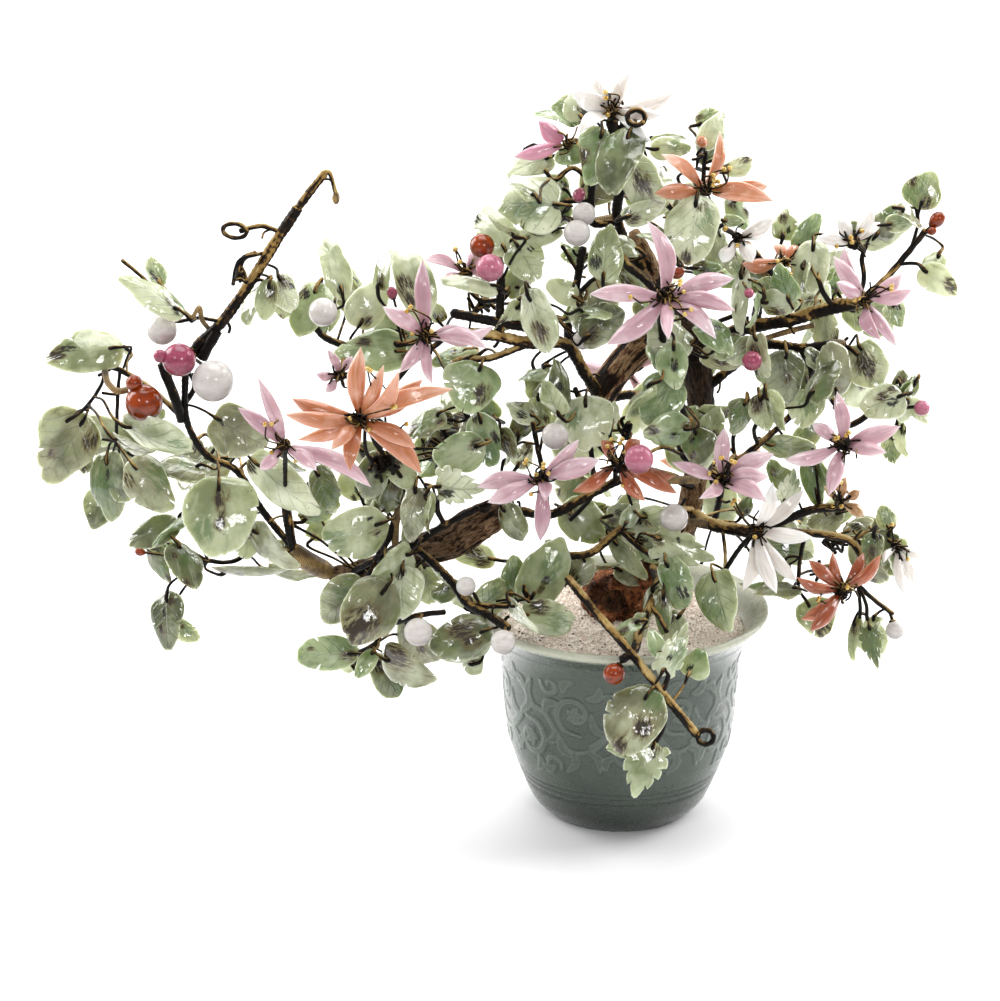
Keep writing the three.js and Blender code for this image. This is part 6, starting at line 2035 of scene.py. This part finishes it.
def bead(name, look, carried_by, balls):
    """Balls of glass on one wire, with a cap where it goes in."""
    piece = Piece()
    centres = [at(ball[:3]) for ball in balls]
    axis = unit(centres[0] - nearest(free_spots(STEMS[carried_by]), centres[0]))
    for centre, ball in zip(centres, balls):
        radius = ball[3]
        globe(piece, centre, [radius, radius * 0.99], axis, 0, ball[0], 36, 20, 0.02)
    radius = balls[0][3]
    cap = centres[0] - axis * radius * 0.96
    globe(piece, cap, [radius * 0.4, radius * 0.2], axis, WIRE_SLOT, 1.0, 12, 6, 0.25)
    piece.build(name + "_look", [BALLS[look], WIRE], [name])


for name, table in BRANCHES.items():
    branch(name, table)
for name, entry in BLOOMS.items():
    bloom(name, entry)
for name, (look, carried_by, *balls) in BEADS.items():
    bead(name, look, carried_by, balls)


# Wood, pot and gravel

ROOT_BLOCK = at([620, 592, -8])
ROUND_CUT = at([614, 601, -1])
UPPER_FOOT, UPPER_NEXT = at([598, 397, -12]), at([622, 364, -14])  # lower end of the upper bark piece
CUT_END = at([594, 402, -12])
BOUGH_SPLIT = at([490, 520, 6])
PEAK = limb_path([[622, 590, -8], [626, 570, -8], [629, 556, -8]], [8, 4, 1.0])


def carve_trunk(points, normals, marks):
    points = crumbled(points, normals, ROOT_BLOCK, 36)
    points, marks = hollow(points, marks, ROUND_CUT, TO_EYE * 0.9 - UP * 0.15, 6.5, 2.6)
    near = smooth(34, 26, np.linalg.norm(points - ROOT_BLOCK, axis=1))
    marks[:, 1] = np.where((near > 0) & (marks[:, 1] < 0.5), 2 * near, marks[:, 1])
    depth = (points - CUT_END) @ unit(UPPER_NEXT - UPPER_FOOT)
    close = np.linalg.norm(points - CUT_END, axis=1) < 16
    marks[:, 1] -= smooth(6.5, 3.0, depth) * close
    floor_level = GRAVEL_TOP - 3
    low = points[:, 2] < floor_level
    points[low, 2] = floor_level + (points[low, 2] - floor_level) * 0.15
    return points, marks


def carve_bough(points, normals, marks):
    away = np.linalg.norm(points - BOUGH_SPLIT, axis=1)
    lower = smooth(0.2, -0.5, normals @ UP)
    marks[:, 2] = np.maximum(marks[:, 2], 0.5 * smooth(30, 10, away) * (0.15 + 0.85 * lower))
    return points, marks


trunk_limbs = [limb_path(**limb) for limb in TRUNK]
wooden(
    "trunk_bark", [*trunk_limbs, PEAK], trunk_limbs[:3], tones=[0.52, 0.04, 0.85], nodes=["trunk"],
    voxel=0.76, depth=1.25, seed=3, carve=carve_trunk,
)
bough_limbs = [limb_path(**BOUGH)]
wooden(
    "bough_bark", bough_limbs, bough_limbs, tones=[0.24], nodes=["bough"],
    voxel=0.6, depth=2.1, seed=8, carve=carve_bough,
)

pot_piece = Piece()
pot(pot_piece)
pot_piece.build("pot_glazed", [CELADON], ["pot"])
gravel_piece = Piece()
gravel(gravel_piece)
gravel_piece.build("gravel_bed", [CHIPS], ["gravel"])


# Floor, camera and light

bpy.ops.mesh.primitive_plane_add(size=6, location=(0, 0, 0))
floor = bpy.context.object
floor.name = "floor"
floor.data.materials.append(floor_paint())


def placed(name, data, location):
    made = bpy.data.objects.new(name, data)
    made.location = location
    bpy.context.scene.collection.objects.link(made)
    return made


lens = bpy.data.cameras.new("camera")
lens.sensor_width = SENSOR
lens.sensor_height = SENSOR
lens.lens = DRAWING_FOCUS * SENSOR / DRAWING_SIZE
lens.clip_start = 0.05
camera = placed("camera", lens, EYE * METRE)
camera.rotation_euler = (math.pi / 2 - EYE_PITCH, 0, 0)
bpy.context.scene.camera = camera

# Area lights, in metres and watts: name, place, what it is turned to, size, power
TREE = (0, 0, 0.2)
for name, location, target, size, power in (
    ("light_right", (1.3, 0.55, 0.95), TREE, (0.9, 1.1), 28),
    ("light_left", (-1.3, 0.5, 0.85), TREE, (0.9, 1.1), 22),
    ("light_top", (0.0, 0.2, 1.6), TREE, (1.2, 1.0), 17),
    ("light_front", (0.5, -1.5, 0.9), TREE, (0.32, 0.32), 5),
    ("light_glint", (-0.8, -1.2, 1.0), TREE, (0.22, 0.22), 2.5),
    ("light_back", (0.0, 2.2, 1.7), (0, 2.3, 0), (3.0, 1.4), 55),
):
    lamp = bpy.data.lights.new(name, "AREA")
    lamp.shape = "RECTANGLE"
    lamp.size, lamp.size_y = size
    lamp.energy = power
    aim = Vector(target) - Vector(location)
    placed(name, lamp, location).rotation_euler = aim.to_track_quat("-Z", "Y").to_euler()

world = bpy.data.worlds.new("studio")
bpy.context.scene.world = world
world.use_nodes = True
background = world.node_tree.nodes["Background"]
background.inputs["Color"].default_value = (0.95, 0.96, 0.97, 1)
background.inputs["Strength"].default_value = 0.44
bpy.context.scene.view_settings.view_transform = "Standard"
